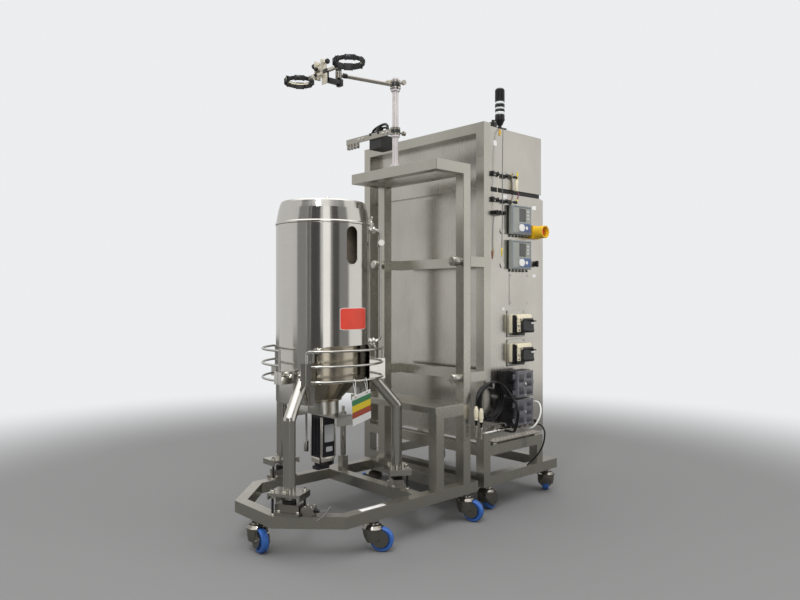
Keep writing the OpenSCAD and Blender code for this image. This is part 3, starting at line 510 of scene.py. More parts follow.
def cord_curve(name, line, radius, material):
    """A round cord along millimetre points, as one open spline."""
    data = bpy.data.curves.new(name, "CURVE")
    data.dimensions = "3D"
    data.bevel_depth = radius / 1000
    data.bevel_resolution = 4
    data.use_fill_caps = True
    spline = data.splines.new("POLY")
    spline.points.add(len(line) - 1)
    for point, mm in zip(spline.points, line):
        point.co = (*at(*mm), 1)
    spline.use_smooth = True
    obj = add_object(name, data, material)
    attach(obj, "root")
    return obj


def coil_strand(start_place, turns, aside):
    """One cable's turns in the hank from the top of the coil; it leaves the bundle by aside along X."""
    out = []
    steps = int(turns * 28)
    for i in range(3, steps + 1):
        turn = turns * i / steps
        a = radians(90 + 360 * turn)
        place = radians(start_place - 120 * turn)
        slack = 0.5 - 0.5 * sin(a)
        bundle = 8.8 + 2.5 * slack ** 1.5
        leave = min(1, max(0, (turn - 2.55) / 0.5))
        r = COIL_R + bundle * cos(place)
        out.append(Vector((COIL[0] + bundle * sin(place) + aside * leave * leave * (3 - 2 * leave),
                           COIL[1] + r * cos(a), COIL[2] + r * sin(a))))
    return out


def connector(name, place):
    """Plug with a ribbed grip, black boot and metal nose, hanging below place."""
    grip = [(0, 0), (4.8, 0), (5.4, -2), (7.6, -6), (8, -14), (10.6, -15)]
    for z in [-16.5 - 6 * i for i in range(6)]:
        grip += [(11, z), (11, z - 3.4), (9.6, z - 4), (9.6, z - 5.2)]
    grip += [(8.4, -53), (8, -66), (0, -66)]
    boot = [(0, -66.2), (7.2, -66.2), (7.4, -74), (5.2, -78), (5.2, -91.8), (0, -91.8)]
    nose = [(0, -92), (7.2, -92), (7.5, -93), (7.5, -103), (6.4, -104), (6.4, -107)]
    for z in range(-107, -127, -5):
        nose += [(7.4, z), (7.4, z - 3.4), (6.6, z - 4), (6.6, z - 4.8)]
    nose += [(5.6, -128), (5.6, -138), (7, -139), (7, -146), (0, -146)]
    return [
        make_piece(name + part, finish, "connector_cream", (lathe, profile, at(*place), Z, 28))
        for part, finish, profile in (
            ("", "connector_cream", grip), ("_boot", "cable_black", boot), ("_adapter", "fitting_steel", nose))
    ]


def make_hank():
    """Two cables side by side from the manifold into one coil, each with its plug hanging below."""
    middle_route = [
        (PORT_X, 844, PORT_Z), (396, 844, 396), (418, 843, 397), (438, 830, 406), (454, 821, 428),
        (466, 817, 463), (471, 815, 504), (460, 811, 546), (436, 801, 588), (411, 785, 626),
        (393, 757, 645), (380, 722, 648),
    ]
    apart = [(0, 4.6)] * 8 + [(-1.5, 4.3), (-2.8, 3.6), (-4.3, 1.6), (-4.6, 0)]
    strands = (
        (-1, 30, 3.17, 11.5, [(400, 626, 562), (404, 622, 548), (404, 622, 536)]),
        (1, -30, 3.08, 13, [(389, 640, 615), (390, 618, 592), (390, 605.5, 568), (390, 602, 546)]),
    )
    for i, (side, place, turns, aside, tail) in enumerate(strands, 1):
        lead = [Vector(q) + Vector((side * x, side * y, 0)) for q, (x, y) in zip(middle_route, apart)]
        line = even(smooth_path(lead + coil_strand(place, turns, aside)[::2] + tail, 6), 6)
        cable = cord_curve(f"hank_cable_{i}", line, CABLE_R, M["cable_black"])
        plug = connector(f"hank_connector_{i}", tail[-1])
        if i == 1:
            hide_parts("cable_coil", "coil_lead")
            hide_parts("coil_connectors")


def make_hose():
    """White silicone hose from the lower large pump round to the manifold."""
    route = [
        (390, 990.05, 520), (390, 1003, 520), (401, 1024, 527), (432, 1032, 524), (456, 1021, 494),
        (459, 1003, 450), (440, 982, 408), (404, 976, 396), (PORT_X, 976, PORT_Z),
    ]
    line = even(smooth_path(route, 8), 5)
    hose = cord_curve("pump_hose", line, HOSE_R, M["tubing_white"])
    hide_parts("pump_tubing")


def make_leads():
    """Two thin sensor leads with sleeved tips, and the power lead down to the cabinet's cart."""
    sleeve = [(0, 14), (2.4, 14), (4.2, 10), (4.6, -8), (3.4, -12), (3.2, -26), (1.6, -30), (0, -30)]
    sensor_route = [
        (342, 850, 1907), (352, 847, 1902), (360, 838, 1880), (366, 828, 1800),
        (368, 824, 1640), (368, 824, 1476), (366, 824, 1380), (364, 824, 1290),
    ]
    probe_route = [(350, 782, 1462), (349, 778, 1440), (348, 774, 1400), (346, 772, 1340), (346, 772, 1276)]
    for name, route, finish in (("sensor_lead", sensor_route, YELLOW_TIP), ("probe_lead", probe_route, BROWN_TIP)):
        line = even(smooth_path(route, 10), 6)
        lead = cord_curve(name, line, LEAD_R, M["lead_grey"])
        tip = make_piece(f"{name}_tip", finish, "connector_cream", (lathe, sleeve, at(*route[-1]), Z, 18))
        if name == "sensor_lead":
            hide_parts("hanging_leads")
    route = [
        (PORT_X, 1108, PORT_Z), (384, 1108, 395.5), (402, 1109, 387), (413, 1111, 368), (415, 1112, 340),
        (406, 1108, 290), (384, 1096, 242), (356, 1080, 206), (336, 1069, 181.5),
    ]
    line = even(smooth_path(route, 10), 6)
    power = cord_curve("power_lead", line, HOSE_R, M["cable_black"])


make_hank()
make_hose()
make_leads()
dress_nodes()


# ---- vessel ----

def turned(degrees):
    """Turn about the Z axis."""
    return Matrix.Rotation(radians(degrees), 3, "Z")


def round_axis(x, y, degrees):
    """The point (x, y) turned about the vessel's axis."""
    return (turned(degrees) @ Vector((x, y, 0))).xy


def jacket_plate(bm, radius, angle, half, low, high, thick=0.7, corners=(5, 1.5)):
    """A thin plate rolled to a radius about the vessel's axis, with its corners cut back."""
    columns = []
    insets = (*corners, *[0] * 13, *corners[::-1])
    for i, inset in enumerate(insets):
        a = radians(angle - half + 2 * half * i / 16)
        columns.append([
            bm.verts.new(at(r * cos(a), r * sin(a), z))
            for r, z in ((radius, low + inset), (radius, high - inset), (radius - thick, high - inset),
                         (radius - thick, low + inset))
        ])
    closed_skin(bm, columns)


def make_jacket_details():
    """Red plate on its border, window behind the slot, the slot's lip and the shoulder's weld."""
    make_piece("jacket_placard_border", WHITE, "jacket_steel", (jacket_plate, 211.6, 4, 20.7, 919, 1014))
    make_piece("jacket_placard", RED_CARD, "jacket_steel", (jacket_plate, 212.1, 4, 20.3, 921, 1012))
    make_piece("tank_window", TANK_VIEW, "tank_steel", (jacket_plate, 169.6, 13, 25, 1190, 1376, 1.0, (0, 0)))
    lip = []
    for k in range(49):
        t = radians(180 + 180 * k / 48)
        a = asin(30 * cos(t) / 211)
        lip.append(Vector((209.5 * cos(a), 209.5 * sin(a), 1229 + 29 * sin(t))))
    make_piece("slot_lip", POLISHED, "jacket_steel", (tube, lip, 2.6))
    bead = [(WALL_R, -2.2), (212.4, -2.0), (213.4, 0), (212.4, 2.0), (WALL_R, 2.2)]
    make_piece("shoulder_weld", POLISHED, "jacket_steel", (lathe, bead, at(0, 0, SHOULDER_Z), Z, 128), sharp=60)


def make_pipe_fittings():
    """Unions on the water pipe's two ends and the small valve over its upper elbow."""
    turn = radians(PIPE_ANGLE)
    along = Vector((cos(turn), sin(turn), 0))
    union = [(0, 0), (12, 0), (16, 1.5), (17, 4), (17, 8), (16, 10.5), (12, 12), (0, 12)]
    stem = [(0, -6), (9, -6), (9.5, 14), (13, 15), (13.5, 24), (9, 26), (6, 30), (5.5, 44), (8, 45), (8, 52),
            (0, 53)]
    near, x, y = along * 224, *(along * 219).xy
    make_piece("pipe_fittings", POLISHED, "fitting_steel",
               *[(lathe, union, at(near.x, near.y, z), along, 28) for z in PIPE_ENDS],
               (lathe, stem, at(x, y, PIPE_ENDS[1] + 6), Z, 28))
    make_piece("pipe_valve_lever", POLISHED, "fitting_steel",
               *wires((x, y, 1419), (3.4, 12, (-20, 13, 2), (0, 0, 0), (23, -15, 5))))


def make_foot_hardware():
    """Each foot's hold-down rods, nuts, washers, bolts and rubber pad."""
    pad = [(0, 224.2), (27, 224.2), (29, 227), (29, 236), (27, 239), (0, 239)]
    washer = [(0, 273.8), (12, 273.8), (12, 276), (0, 276)]
    for k, angle in enumerate(LEG_ANGLES, 1):
        stays = [round_axis(x, y, angle) for x, y in ((378, -56), (322, 60))]
        screws = [round_axis(x, y, angle) for x, y in ((316, -48), (316, 48), (364, 48), (364, -36))]
        bolts = []
        for x, y in stays:
            bolts += [(hexagon, at(x, y, z), Z, 17, h) for z, h in ((CART_TOP, 8), (251, 9), (274.2, 10))]
            bolts.append((lathe, washer, at(x, y, 0), Z, 24))
        bolts += [(hexagon, at(x, y, 192), Z, 13, 8) for x, y in screws]
        bolts.append((hexagon, at(*round_axis(385, 0, angle), 274), Z, 16, 9))
        make_piece(f"foot_rods_{k}", BLACK, "fitting_steel",
                   *[(rod, (x, y, CART_TOP), Z, 108, 5) for x, y in stays])
        make_piece(f"foot_bolts_{k}", POLISHED, "fitting_steel", *bolts)
        make_piece(f"foot_pad_{k}", GASKET, "fitting_steel",
                   (lathe, pad, at(*round_axis(LEG_R, 0, angle), 0), Z, 32))


def make_card():
    """Striped card that hangs from the lowest hose rail by two wire loops."""
    mid = Vector((267, 5, 590))
    along = Vector((0, 0.971, 0.240)).normalized()
    up = Vector((0.2515, -0.2325, 0.9406)).normalized()
    out = along.cross(up)
    width, tall, rail_z = 104, 140, 706
    white, red, yellow, green = (0.76, 0.76, 0.74), (0.36, 0.075, 0.045), (0.72, 0.56, 0.035), (0.055, 0.22, 0.10)
    n = Nodes("striped_card")
    height = n.add("VectorMath", operation="DOT_PRODUCT")
    n.link(n.add("TexCoord").outputs["Object"], height.inputs[0])
    height.inputs[1].default_value = up
    foot = at(*mid).dot(up) - tall / 2000
    n.colour(n.ramp(n.spread(height.outputs["Value"], 0, 1, foot, foot + tall / 1000), [
        (0.0, white), (0.25, red), (0.46, yellow), (0.68, green), (0.87, white)], "CONSTANT"))
    n.roughness(n.spread(n.noise((40, 40, 30)), 0.28, 0.42))
    make_piece("hanging_card", n.material, "tubing_white", (rounded, mid, along, up, width, tall, 4, 1.2))
    holes = [mid + along * s + up * 63 for s in (-32, 32)]
    for i, hole in enumerate(holes, 1):
        gap = rail_z - hole.z
        loop = [(2.5, 2), (1.5, gap * 0.6), (-4, gap + 7), (-13, gap + 8.5), (-20, gap), (-15, gap - 8),
                (-5, gap * 0.35), (-1.2, 0)]
        make_piece(f"card_loop_{i}", WHITE, "tubing_white",
                   (wire, [hole + Vector((x, 0, z)) for x, z in loop], 1.0))
    eyelet = [(2.2, 0), (4.6, 0), (4.4, 1.1), (2.4, 1.1), (2.2, 0)]
    make_piece("card_eyelets", BRASS, "tubing_white",
               *[(lathe, eyelet, at(*hole) + out * 0.0008, out, 20) for hole in holes])


def make_motor_details():
    """The drive motor's edge strips, bare plates with screws, bracket and feet."""
    make_piece("motor_edges", "fitting_steel", "motor_black", *bricks(
        FOOT, (34, -40.8, 342, 40.8, -31, 524, 0.8), (38.5, 33, 342, 40.8, 40.4, 524, 0.6),
        (-40.6, -40.8, 342, -34, -37, 524, 0.6)))
    make_piece("motor_plates", BARE_PLATE, "motor_black",
               *plates(FOOT, (40.9, 3, 449, 52, 78, 3, 0.9), (40.9, 3, 378, 36, 22, 3, 0.9)))
    make_piece("motor_plate_screws", POLISHED, "motor_black", *rods(
        (41.5, 3, 449), *[(0, y, z, X, 1.6, 2.2, 0.5, 12) for y in (-22, 22) for z in (-34, 34)]))
    make_piece("motor_bracket", POLISHED, "motor_black",
               *bricks(FOOT, (28, -38, 322, 44, 30, 344, 1.2), (-30, -44, 316, 30, -40, 342, 1)))
    make_piece("motor_feet", BLACK, "motor_black",
               *bricks(FOOT, (30, -36, 308, 43, -24, 322, 1), (30, 16, 308, 43, 28, 322, 1)))


def make_cart_details():
    """Sleeve over the clamp rod, strip on the frame and the front load cell's junction box."""
    bush = [(8.2, 262), (13.6, 262), (14, 264), (14, 446), (8.2, 447), (8.2, 262)]
    make_piece("clamp_rod_sleeve", "leg_steel", "cart_steel", (lathe, bush, at(-226, 290, 0), Z, 32))
    make_piece("frame_strip", WHITE, "cart_steel", *bricks(FOOT, (322, -58, 179.9, 347, 74, 180.9, 0.3)))
    turn = turned(LEG_ANGLES[0])
    make_piece("junction_box", "load_cell_metal", "load_cell_metal",
               (brick, (318, 66, 181), (362, 112, 219), 2.0, turn),
               (brick, (322, 56, 186), (356, 70, 212), 1.5, turn))
    gland = [(0, 0), (9, 0), (9, 6), (7.5, 7), (7.5, 16), (5, 22), (0, 22)]
    mouth, out, z = turn @ Vector((340, 112, 0)), turn @ Vector(Y), 203
    make_piece("junction_gland", "cable_black", "load_cell_metal",
               (lathe, gland, at(mouth.x, mouth.y, z), out, 20))
    make_piece("junction_bolts", POLISHED, "load_cell_metal",
               *[(hexagon, at(*round_axis(x, y, LEG_ANGLES[0]), 218.5), Z, 9, 5)
                 for y in (76, 103) for x in (326, 354)])
    x, y = (mouth + out * 21).xy
    make_piece("junction_wire", "lead_grey", "load_cell_metal", *wires(
        (x, y, z), (3, 12, (0, 0, 0), (24, 10, 3), (46, 12, 11), (62, 6, 29), (58, -16, 3), (40, -42, -21))))


make_jacket_details()
make_cart_details()
make_pipe_fittings()
make_foot_hardware()
make_card()
make_motor_details()


# ---- instruments ----

def make_transmitter_faces():
    """Each transmitter's blue outline, a black border that is painted shadow round its housing, screen, keypad,
    keys and cable glands.
    """
    gland = [(0, 0), (7.4, 0), (7.4, 5), (6.3, 6), (6.3, 12), (0, 12)]
    for k, z in enumerate(TRANSMITTERS, 1):
        spot = (CAB_X, TRANSMITTER_Y, z)
        for part, finish, *shapes in (
            ("outline", KEYPAD, *bricks(
                spot, (26.8, -75, -67, 27.7, -73.4, 67, 0), (26.8, 73.4, -67, 27.7, 75, 67, 0),
                (26.8, -75, 65.4, 27.7, 75, 67, 0), (26.8, -75, -67, 27.7, 75, -65.4, 0))),
            # painted shadow: this black border, a little wider than the housing, stands for the shade round the
            # housing's edges
            ("seal", GASKET, *bricks(spot, (-0.5, -80, -72, 4, 80, 72, 0.6))),
            ("screen", SCREEN, *plates(spot, (24.2, 6, 24, 55, 67, 2, 1.8))),
            ("keys", KEYPAD, *plates(spot, (28.3, 26, -40, 88, 44, 5, 0.7))),
            ("buttons", WHITE, *plates(spot, (29, -2, -40, 45, 37.4, 18, 1.6), (29, 38, -40, 18, 18, 8.8, 1.5),
                                       *[(27.9, 49, h, 9, 9, 4.2, 1.3) for h in (8, 26, 44)])),
            ("glands", BLACK, *[(lathe, gland, at(*moved(spot, (12, y, -87))), Z, 6)
                                for y in (-55, -27, 1, 29, 57)]),
        ):
            make_piece(f"transmitter_{k}_{part}", finish, "transmitter_grey", *shapes)


def make_side_plates():
    """Bare tags and the dark seal between the two cabinets."""
    wall = (CAB_X, 0, 0)
    tags = ((1127, 1530, 34, 20), (1124, 1171, 34, 16), (884, 1566, 30, 18), (806, 1825, 24, 26),
            (870, 1000, 20, 13))
    make_piece("bare_tags", WHITE, "cabinet_steel", *plates(wall, *[(0.1, *tag, 1.5, 0.8) for tag in tags]))
    make_piece("seal_line", GASKET, "cabinet_steel", *bricks(wall, (-13, 774, 1583, -3, 1176, 1603, 0.5)))


def make_small_pumps():
    """Two small pumps: steel plate, dark head, cream face with a cream top that is also a painted highlight, and
    the cover's hinge.
    """
    plates, heads, faces, pins = [], [], [], []
    for z in SMALL_PUMPS:
        spot = (CAB_X, SMALL_PUMP_Y, z)
        plates += bricks(spot, (-0.2, -79, -68, 4.4, 66, 68, 0.8))
        plates += rods(spot, *[(4, y, z, X, 3, 4.5, 0.8, 16) for y in (-73, 59) for z in (-60, 60)])
        heads += bricks(spot, (22, -62, -45, 38, 64, 45, 3), (37, -58, -41, 46, 64, 38, 2),
                        (4, -40, -58, 34, 30, -44, 2))
        faces += bricks(spot, (4, -66, -47, 23, 66, 47, 3), (36, -52, -41, 50, 64, 44, 2.5),
                        # cream top over each head: the pump's own cream, and also a painted highlight along the
                        # head's top
                        (22, -56, 41, 47, 64, 48, 2),
                        *[(24, -55, z, 51.4, -30, z + 3, 0.8) for z in (30, 23, 16, 9)],
                        *[(49, y, 14, 56, y + 6, 28, 1) for y in (-34, 58)])
        pins += rods(spot, (58, -34, 21, Y, 6, 7), (58, 58, 21, Y, 6, 7), (58, -34, 21, Y, 98, 3),
                     (49, -44, -8, X, 7, 6.5), (49, -44, -30, X, 4, 4))
    plate = make_piece("small_pump_plates", "plate_steel", "pump_cream", *plates)
    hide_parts("small_pumps")
    make_piece("small_pump_heads", "pump_black", "pump_cream", *heads)
    make_piece("small_pump_faces", IVORY, "pump_cream", *faces)
    make_piece("small_pump_pins", "fitting_steel", "pump_cream", *pins)
    for k, z in enumerate(SMALL_PUMPS, 1):
        make_piece(f"small_pump_lever_{k}", WHITE, "cover_black",
                   *bricks((CAB_X, SMALL_PUMP_Y, z), (68, 34, -2, 74, 60, 7, 2), (68, -22, -34, 70, -8, -28, 0.6)),
                   body=f"small_cover_{k}")


def make_large_pump_details():
    """Windows and screws of the large pumps' doors, and the ribs of their housings."""
    windows = [(96.4, -50, z, 97.9, -12, z + 40, 0.6) for z in (-50, 10)]
    windows += [(96.4, 12, z, 97.9, 52, z + 24, 0.6) for z in (-52, -12, 28)]
    ribs = [(x, -69.4, z, x + 5, -65, z + 46, 0.8) for z in (8, -54) for x in (34, 43, 52, 61)]
    for k, z in enumerate(LARGE_PUMPS, 1):
        spot, door = (CAB_X, LARGE_PUMP_Y, z), f"large_cover_{k}"
        make_piece(f"large_pump_windows_{k}", SMOKE, "cover_clear", *bricks(spot, *windows), body=door)
        make_piece(f"large_pump_screw_{k}", POLISHED, "cover_clear",
                   *rods(spot, (96.5, 0, 0, X, 5, 6, 1.2), (96.5, 0, -56, X, 3, 3.5)), body=door)
        make_piece(f"large_pump_ribs_{k}", BLACK, "pump_black", *bricks(spot, *ribs))


def make_manifold_lance():
    """White rod with dark fittings along the manifold, and the manifold's valves."""
    rail = (CAB_X, 0, 400)
    make_piece("manifold_rod", WHITE, "fitting_steel", *rods(LANCE, (0, 676, 0, Y, 150, 4.2)))
    make_piece("manifold_rod_fittings", "fitting_steel", "fitting_steel", *rods(
        LANCE, (0, 670, 0, Y, 14, 6.5), (0, 792, 0, Y, 34, 8, 1.5), (0, 770, 0, Y, 10, 7)))
    make_piece("manifold_valves", BLACK, "fitting_steel",
               *rods(rail, *[(20, y, 3, Z, 16, 7.5, 1.5) for y in range(888, 1109, 44)]),
               *bricks(rail, *[(26, y, 2, 34, y + 16, 16, 1.5) for y in (880, 968, 1056)]))


def make_tower_light():
    """Ribbed cap and three pale lenses between dark rings, on a cone."""
    place, foot = at(CAB_X - 16, TOWER_Y, 0), (CAB_X, TOWER_Y, CAB_TOP - 0.2)
    dark = [(0, 1905), (9, 1905), (9, 1924), (14, 1926), (23, 1948), (25.5, 1950), (25.5, 1954), (23.6, 1955)]
    for low, high in ((1955, 1977.8), (1992.2, 2004.8), (2014.2, 2030.8)):
        dark += [(18, low), (23.6, low), (24.2, low + 2), (24.2, high - 2), (23.6, high), (18, high)]
    dark += [(18, 2043.2), (24.2, 2043.2)]
    for i in range(12):
        z = 2045 + i * 4.8
        dark += [(24.2, z), (24.2, z + 2.6), (22.4, z + 3.2), (22.4, z + 4.4)]
    dark += [(23, 2104), (18, 2110), (9, 2113), (0, 2113.6)]
    tower = make_piece("tower_body", "tower_black", "tower_black", (lathe, dark, place, Z, 48),
                       *bricks(foot, (-38, -30, 0, 6, 30, 5.2, 1)))
    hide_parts("tower_light")
    make_piece("tower_lenses", FROST, "tower_black", *[
        (lathe, [(0, a), (22.2, a), (22.9, a + 1.5), (22.9, b - 1.5), (22.2, b), (0, b)], place, Z, 48)
        for a, b in ((1978, 1992), (2005, 2014), (2031, 2043))])
    make_piece("tower_socket", BLACK, "tower_black", *bricks(foot, (-34, -63, 0, -4, -37, 29.2, 3)),
               *rods(foot, (-18, -50, 25.2, Z, 14, 8), (-18, -37, 11.2, Y, 12, 6)))
    make_piece("lead_tag", "shroud_yellow", "tower_black",
               *bricks(foot, (0.4, -27, -36.8, 3, -15, -6.8, 0.8)))


def make_sensor_arms():
    """Jointed arms with bracket plates, the sample tube between them and three sockets."""
    wall = (CAB_X, 0, 0)
    links, plates = [], []
    for z in SENSOR_ARMS:
        spot = (CAB_X, 0, z)
        links += bricks(spot, (0, 762, -13, 24, 784, 13, 2.5)) + rods(spot, (18, 783, 0, Y, 168, 3.6))
        links += [(lathe, [(3, -r), (r * 0.72, -r * 0.72), (r, -2), (r, 2), (r * 0.72, r * 0.72), (3, r)],
                   at(CAB_X + 18, y, z), Y, 24)
                  for y, r in ((792, 7.5), (806, 9), (838, 7), (874, 10), (898, 9), (936, 7.5), (950, 8.5))]
        links += rods(spot, (18, 806, -10, Z, 22, 6), (10, 874, 0, X, 20, 6.5))
        links += bricks(spot, (12, 876, -9, 25, 896, 6, 2))
        plates += bricks(spot, (-0.3, 757, -19, 4, 790, 19, 1))
        plates += rods(spot, *[(24, 773, dz, X, 4, 3.6, 0.8, 14) for dz in (-7, 7)])
    links += bricks(wall, (0, 766, 1468, 20, 850, 1486, 2.5))
    socket = [(0, 0), (11, 0), (11, 4), (9.6, 5), (9.6, 12), (11, 13), (11, 17), (9, 18), (5, 18), (5, 10),
              (0, 10)]
    sockets = [(lathe, socket, at(CAB_X + 19, y, 1477), X, 28) for y in (782, 806, 842)]
    for name, finish, shapes in (
        ("sensor_links", "sensor_black", links), ("arm_plates", "cabinet_steel", plates),
        ("socket_rims", "cable_black", sockets),
        ("sample_case", IVORY, bricks(wall, (11, 944, 1598, 25, 962, 1656, 2.5))),
        ("sample_tip", YELLOW_TIP, rods(wall, (18, 956, 1655, (0, 0.22, 1), 42, 4.5, 1.5),
                                        (18, 956, 1546, Z, 12, 4.5, 1.5))),
        ("sample_tube", VIOLET, wires(wall, (3.2, 14, (18, 958, 1600), (19, 966, 1590), (19, 968, 1574),
                                             (18, 961, 1560), (18, 957, 1552)))),
        ("sample_wire", "connector_cream", wires(
            wall, (1.4, 10, (18, 950, 1654), (22, 934, 1672), (24, 922, 1690), (22, 914, 1700)),
            (1.3, 10, (22, 806, 1662), (27, 796, 1630), (26, 792, 1590), (22, 800, 1548)))),
    ):
        piece = make_piece(name, finish, "sensor_black", *shapes)
        if name == "sensor_links":
            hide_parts("sensor_arms")


make_transmitter_faces()
make_side_plates()
make_small_pumps()
make_large_pump_details()
make_manifold_lance()
make_tower_light()
make_sensor_arms()


# ---- swinging holder ----

class Placed:
    """Placed @ point turns the point by an angle and moves it to a ring's middle."""

    def __init__(self, ring_x, degrees):
        self.turn = turned(degrees)
        self.place = Vector((ring_x, RING_Y, RING_Z))

    def __matmul__(self, point):
        return self.turn @ Vector(point) + self.place


def jaw_links(k, sign):
    """Shapes of one half of ring k: five flat links and their pins."""
    ring_x, angle = RINGS[k]
    shapes = []
    for i in range(5):
        turn = Placed(ring_x, angle + sign * (18 + 36 * i))
        tall = 12 if i % 2 else 9.5
        shapes += [(brick, (RING_R + 1, -17, -tall), (RING_R + 10, 17, tall), 3.0, turn),
                   (brick, (RING_R + 8, -9, -7), (RING_R + 13.5, 9, 7), 2.0, turn)]
    turn, r = Placed(ring_x, angle), RING_R + 5.5
    for i in range(6):
        a = radians(3 + 34.8 * i)
        pin = turn @ (r * cos(a), sign * r * sin(a), -12.5)
        shapes.append((rod, pin, Z, 25, 5.4, 1.2, 16))
    return shapes


def strap(bm, ring_x, angle):
    """Pale band inside the moving half of a ring."""
    columns = []
    for i in range(25):
        a = radians(angle - 10 - 160 * i / 24)
        columns.append([bm.verts.new(at(ring_x + r * cos(a), RING_Y + r * sin(a), RING_Z + z))
                        for r, z in ((RING_R - 0.6, 3), (RING_R - 0.6, 9), (RING_R + 1.2, 9), (RING_R + 1.2, 3))])
    closed_skin(bm, columns)


def make_rings():
    """The cross bar with the fixed half of each ring, and the hinged halves."""
    x, y = ARM_END_X, ARM_END_Y
    shapes = rods(FOOT, (x, y, 2036, Z, 86, 6), (x, y, 2106, Z, 16, 14, 2))
    shapes += bricks(FOOT, (-22, 90, 2036, 10, 108, 2068, 2), (-20, 12, 2042, 8, 92, 2062, 2),
                     (-20, 12, 2042, 8, 28, 2100, 2))
    shapes += rods(FOOT, (-149, RING_Y, RING_Z, X, 244, 6))
    for k, (ring_x, angle) in enumerate(RINGS):
        shapes += jaw_links(k, 1)
        shapes += [(brick, (RING_R + 4, 0.5, z), (RING_R + 20, 6, z + 7), 1.5, Placed(ring_x, angle))
                   for z in (-13, 6)]
    bar = make_piece("ring_bar_links", "clamp_black", "clamp_black", *shapes, body="ring_bar")
    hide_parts("ring_holder")
    for k, (ring_x, angle) in enumerate(RINGS):
        turn, body = Placed(ring_x, angle), f"jaw_{k + 1}"
        jaw = make_piece(f"ring_jaw_links_{k + 1}", "clamp_black", "clamp_black", *jaw_links(k, -1),
                         (brick, (RING_R + 4, -6, -5.4), (RING_R + 20, -0.5, 5.4), 1.5, turn), body=body)
        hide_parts(f"ring_jaw_{k + 1}")
        make_piece(f"ring_hinge_{k + 1}", "fitting_steel", "clamp_black",
                   (rod, turn @ (RING_R + 16, 0, -13.5), Z, 27, 3.2), body="ring_bar")
        make_piece(f"ring_strap_{k + 1}", IVORY, "clamp_black", (strap, ring_x, angle), body=body)


def sleeve(bore, wall, length, x, y, z, axis):
    """Shape of a bush round a bar of radius bore."""
    outer = bore + wall
    profile = [(bore + 0.05, 0), (outer - 0.4, 0), (outer, 1), (outer, length - 1), (outer - 0.4, length),
               (bore + 0.05, length), (bore + 0.05, 0)]
    return lathe, profile, at(x, y, z), axis, 24


def band(r, proud, height, z, rim=0.6, dip=0.5):
    """Shape of a thin band of radius r round the pole's sleeve, sunk in at its middle."""
    profile = [(r, 0), (r + proud, 0.6), (r + proud, height - rim), (r, height), (r - dip, height / 2), (r, 0)]
    return lathe, profile, at(POLE_X, POLE_Y, z), Z, 36


def make_holder_details():
    """Bracket between the rings, and sleeves, collars and screws on the arm and tray."""
    knob = [(0, 0), (10, 0), (12, 2), (12, 9), (9, 13), (0, 14)]
    screw = [(0, 0), (6.5, 0), (6.5, 3), (4, 4.6), (0, 5)]
    make_piece("bracket_plates", IVORY_STEEL, "clamp_black",
               *bricks(FOOT, (-74, 2, 2062, -65, 34, 2146, 1.2), (-26, 2, 2062, -17, 34, 2146, 1.2),
                       (-66, 8, 2098, -24, 28, 2110, 1)), *rods(FOOT, (-92, 18, 2132, X, 92, 5)),
               *bricks(FOOT, (-84, -4, 2070, -8, 2.5, 2082, 1), (-25, 10, 2030, 13, 14, 2078, 0.8)),
               body="ring_bar")
    make_piece("bracket_knobs", BLACK, "clamp_black",
               *[(lathe, knob, at(x, 18, 2132), (way, 0, 0), 18) for x, way in ((-90, -1), (2, 1))],
               *rods(FOOT, (-50, 3, 2104, (0, -1, 0), 14, 9, 1.5), (-50, -3, 2076, (0, -1, 0), 10, 7, 1.5),
                     (ARM_END_X, ARM_END_Y, 2122, Z, 8, 9, 1.5)), body="ring_bar")
    make_piece("bar_sleeve", POLISHED, "clamp_black", sleeve(6, 3, 85, -138, RING_Y, RING_Z, X),
               sleeve(6, 3, 70, 16, RING_Y, RING_Z, X), body="ring_bar")
    make_piece("arm_collars", POLISHED, "arm_metal", band(25.1, 1.1, 6, 2071), band(25.1, 1.1, 6, 2100),
               body="arm")
    make_piece("arm_gusset", IVORY_STEEL, "arm_metal",
               *bricks(FOOT, (40, 350, 2098, 48, 372, 2110, 1), (36, 338, 2097, 54, 368, 2101, 1)), body="arm")
    make_piece("arm_sleeve", "clamp_black", "arm_metal", band(25, 0.7, 22, 2078, 1, 0.4),
               (rod, (6, 132, 2088), (-0.1938, -0.9168, 0.0), 22, 11.5, 2.0), body="arm")
    make_piece("tray_sleeve", "clamp_black", "arm_metal", band(24, 0.7, 18, 1854, 1, 0.4), body="tray")
    make_piece("tray_screws", POLISHED, "arm_metal", *[
        (lathe, screw, at(x, 366.3, 1862), (0, -1, 0), 20) for x in (-196, -160, -8, 22)], body="tray")
    make_piece("tray_clamp", "cable_black", "tray_black", *wires(
        FOOT, (6.5, 14, (-104, 378, 1876), (-92, 382, 1896), (-60, 386, 1908), (-20, 384, 1912), (8, 380, 1904),
               (18, 376, 1880)),
        (5, 12, (-96, 384, 1876), (-80, 392, 1892), (-50, 394, 1898), (-14, 392, 1896), (4, 388, 1880))),
        *bricks(FOOT, (-64, 370, 1870, -36, 396, 1904, 3)), body="tray")


make_rings()
make_holder_details()


# ---- edges ----

ROUNDED_EDGES = {  # millimetres
    1.6: ("vessel_cart_frame", "tall_stand", "cabinet_cart_frame"),
    1.4: ("lower_cabinet", "upper_cabinet"),
    1.2: ("docking_frame", "rear_door", "large_pumps"),
    1.0: ("drive_housing", "load_cells", "transmitters", "selector_switch", "large_pump_cover_1",
          "large_pump_cover_2", "small_pump_cover_1", "small_pump_cover_2"),
    0.6: ("clamp_tray", "estop_shroud"),
}


def soften_edges():
    """Weld each box-like node's vertices and round its hard edges a little."""
    for width, nodes in ROUNDED_EDGES.items():
        for node in nodes:
            modifiers = frame["nodes"][node].modifiers
            modifiers.new("weld", "WELD").merge_threshold = 0.00001
            bevel = modifiers.new("round", "BEVEL")
            bevel.width = width / 1000
            bevel.segments = 2
            bevel.limit_method = "ANGLE"
            bevel.angle_limit = radians(50)


soften_edges()


# ---- room ----

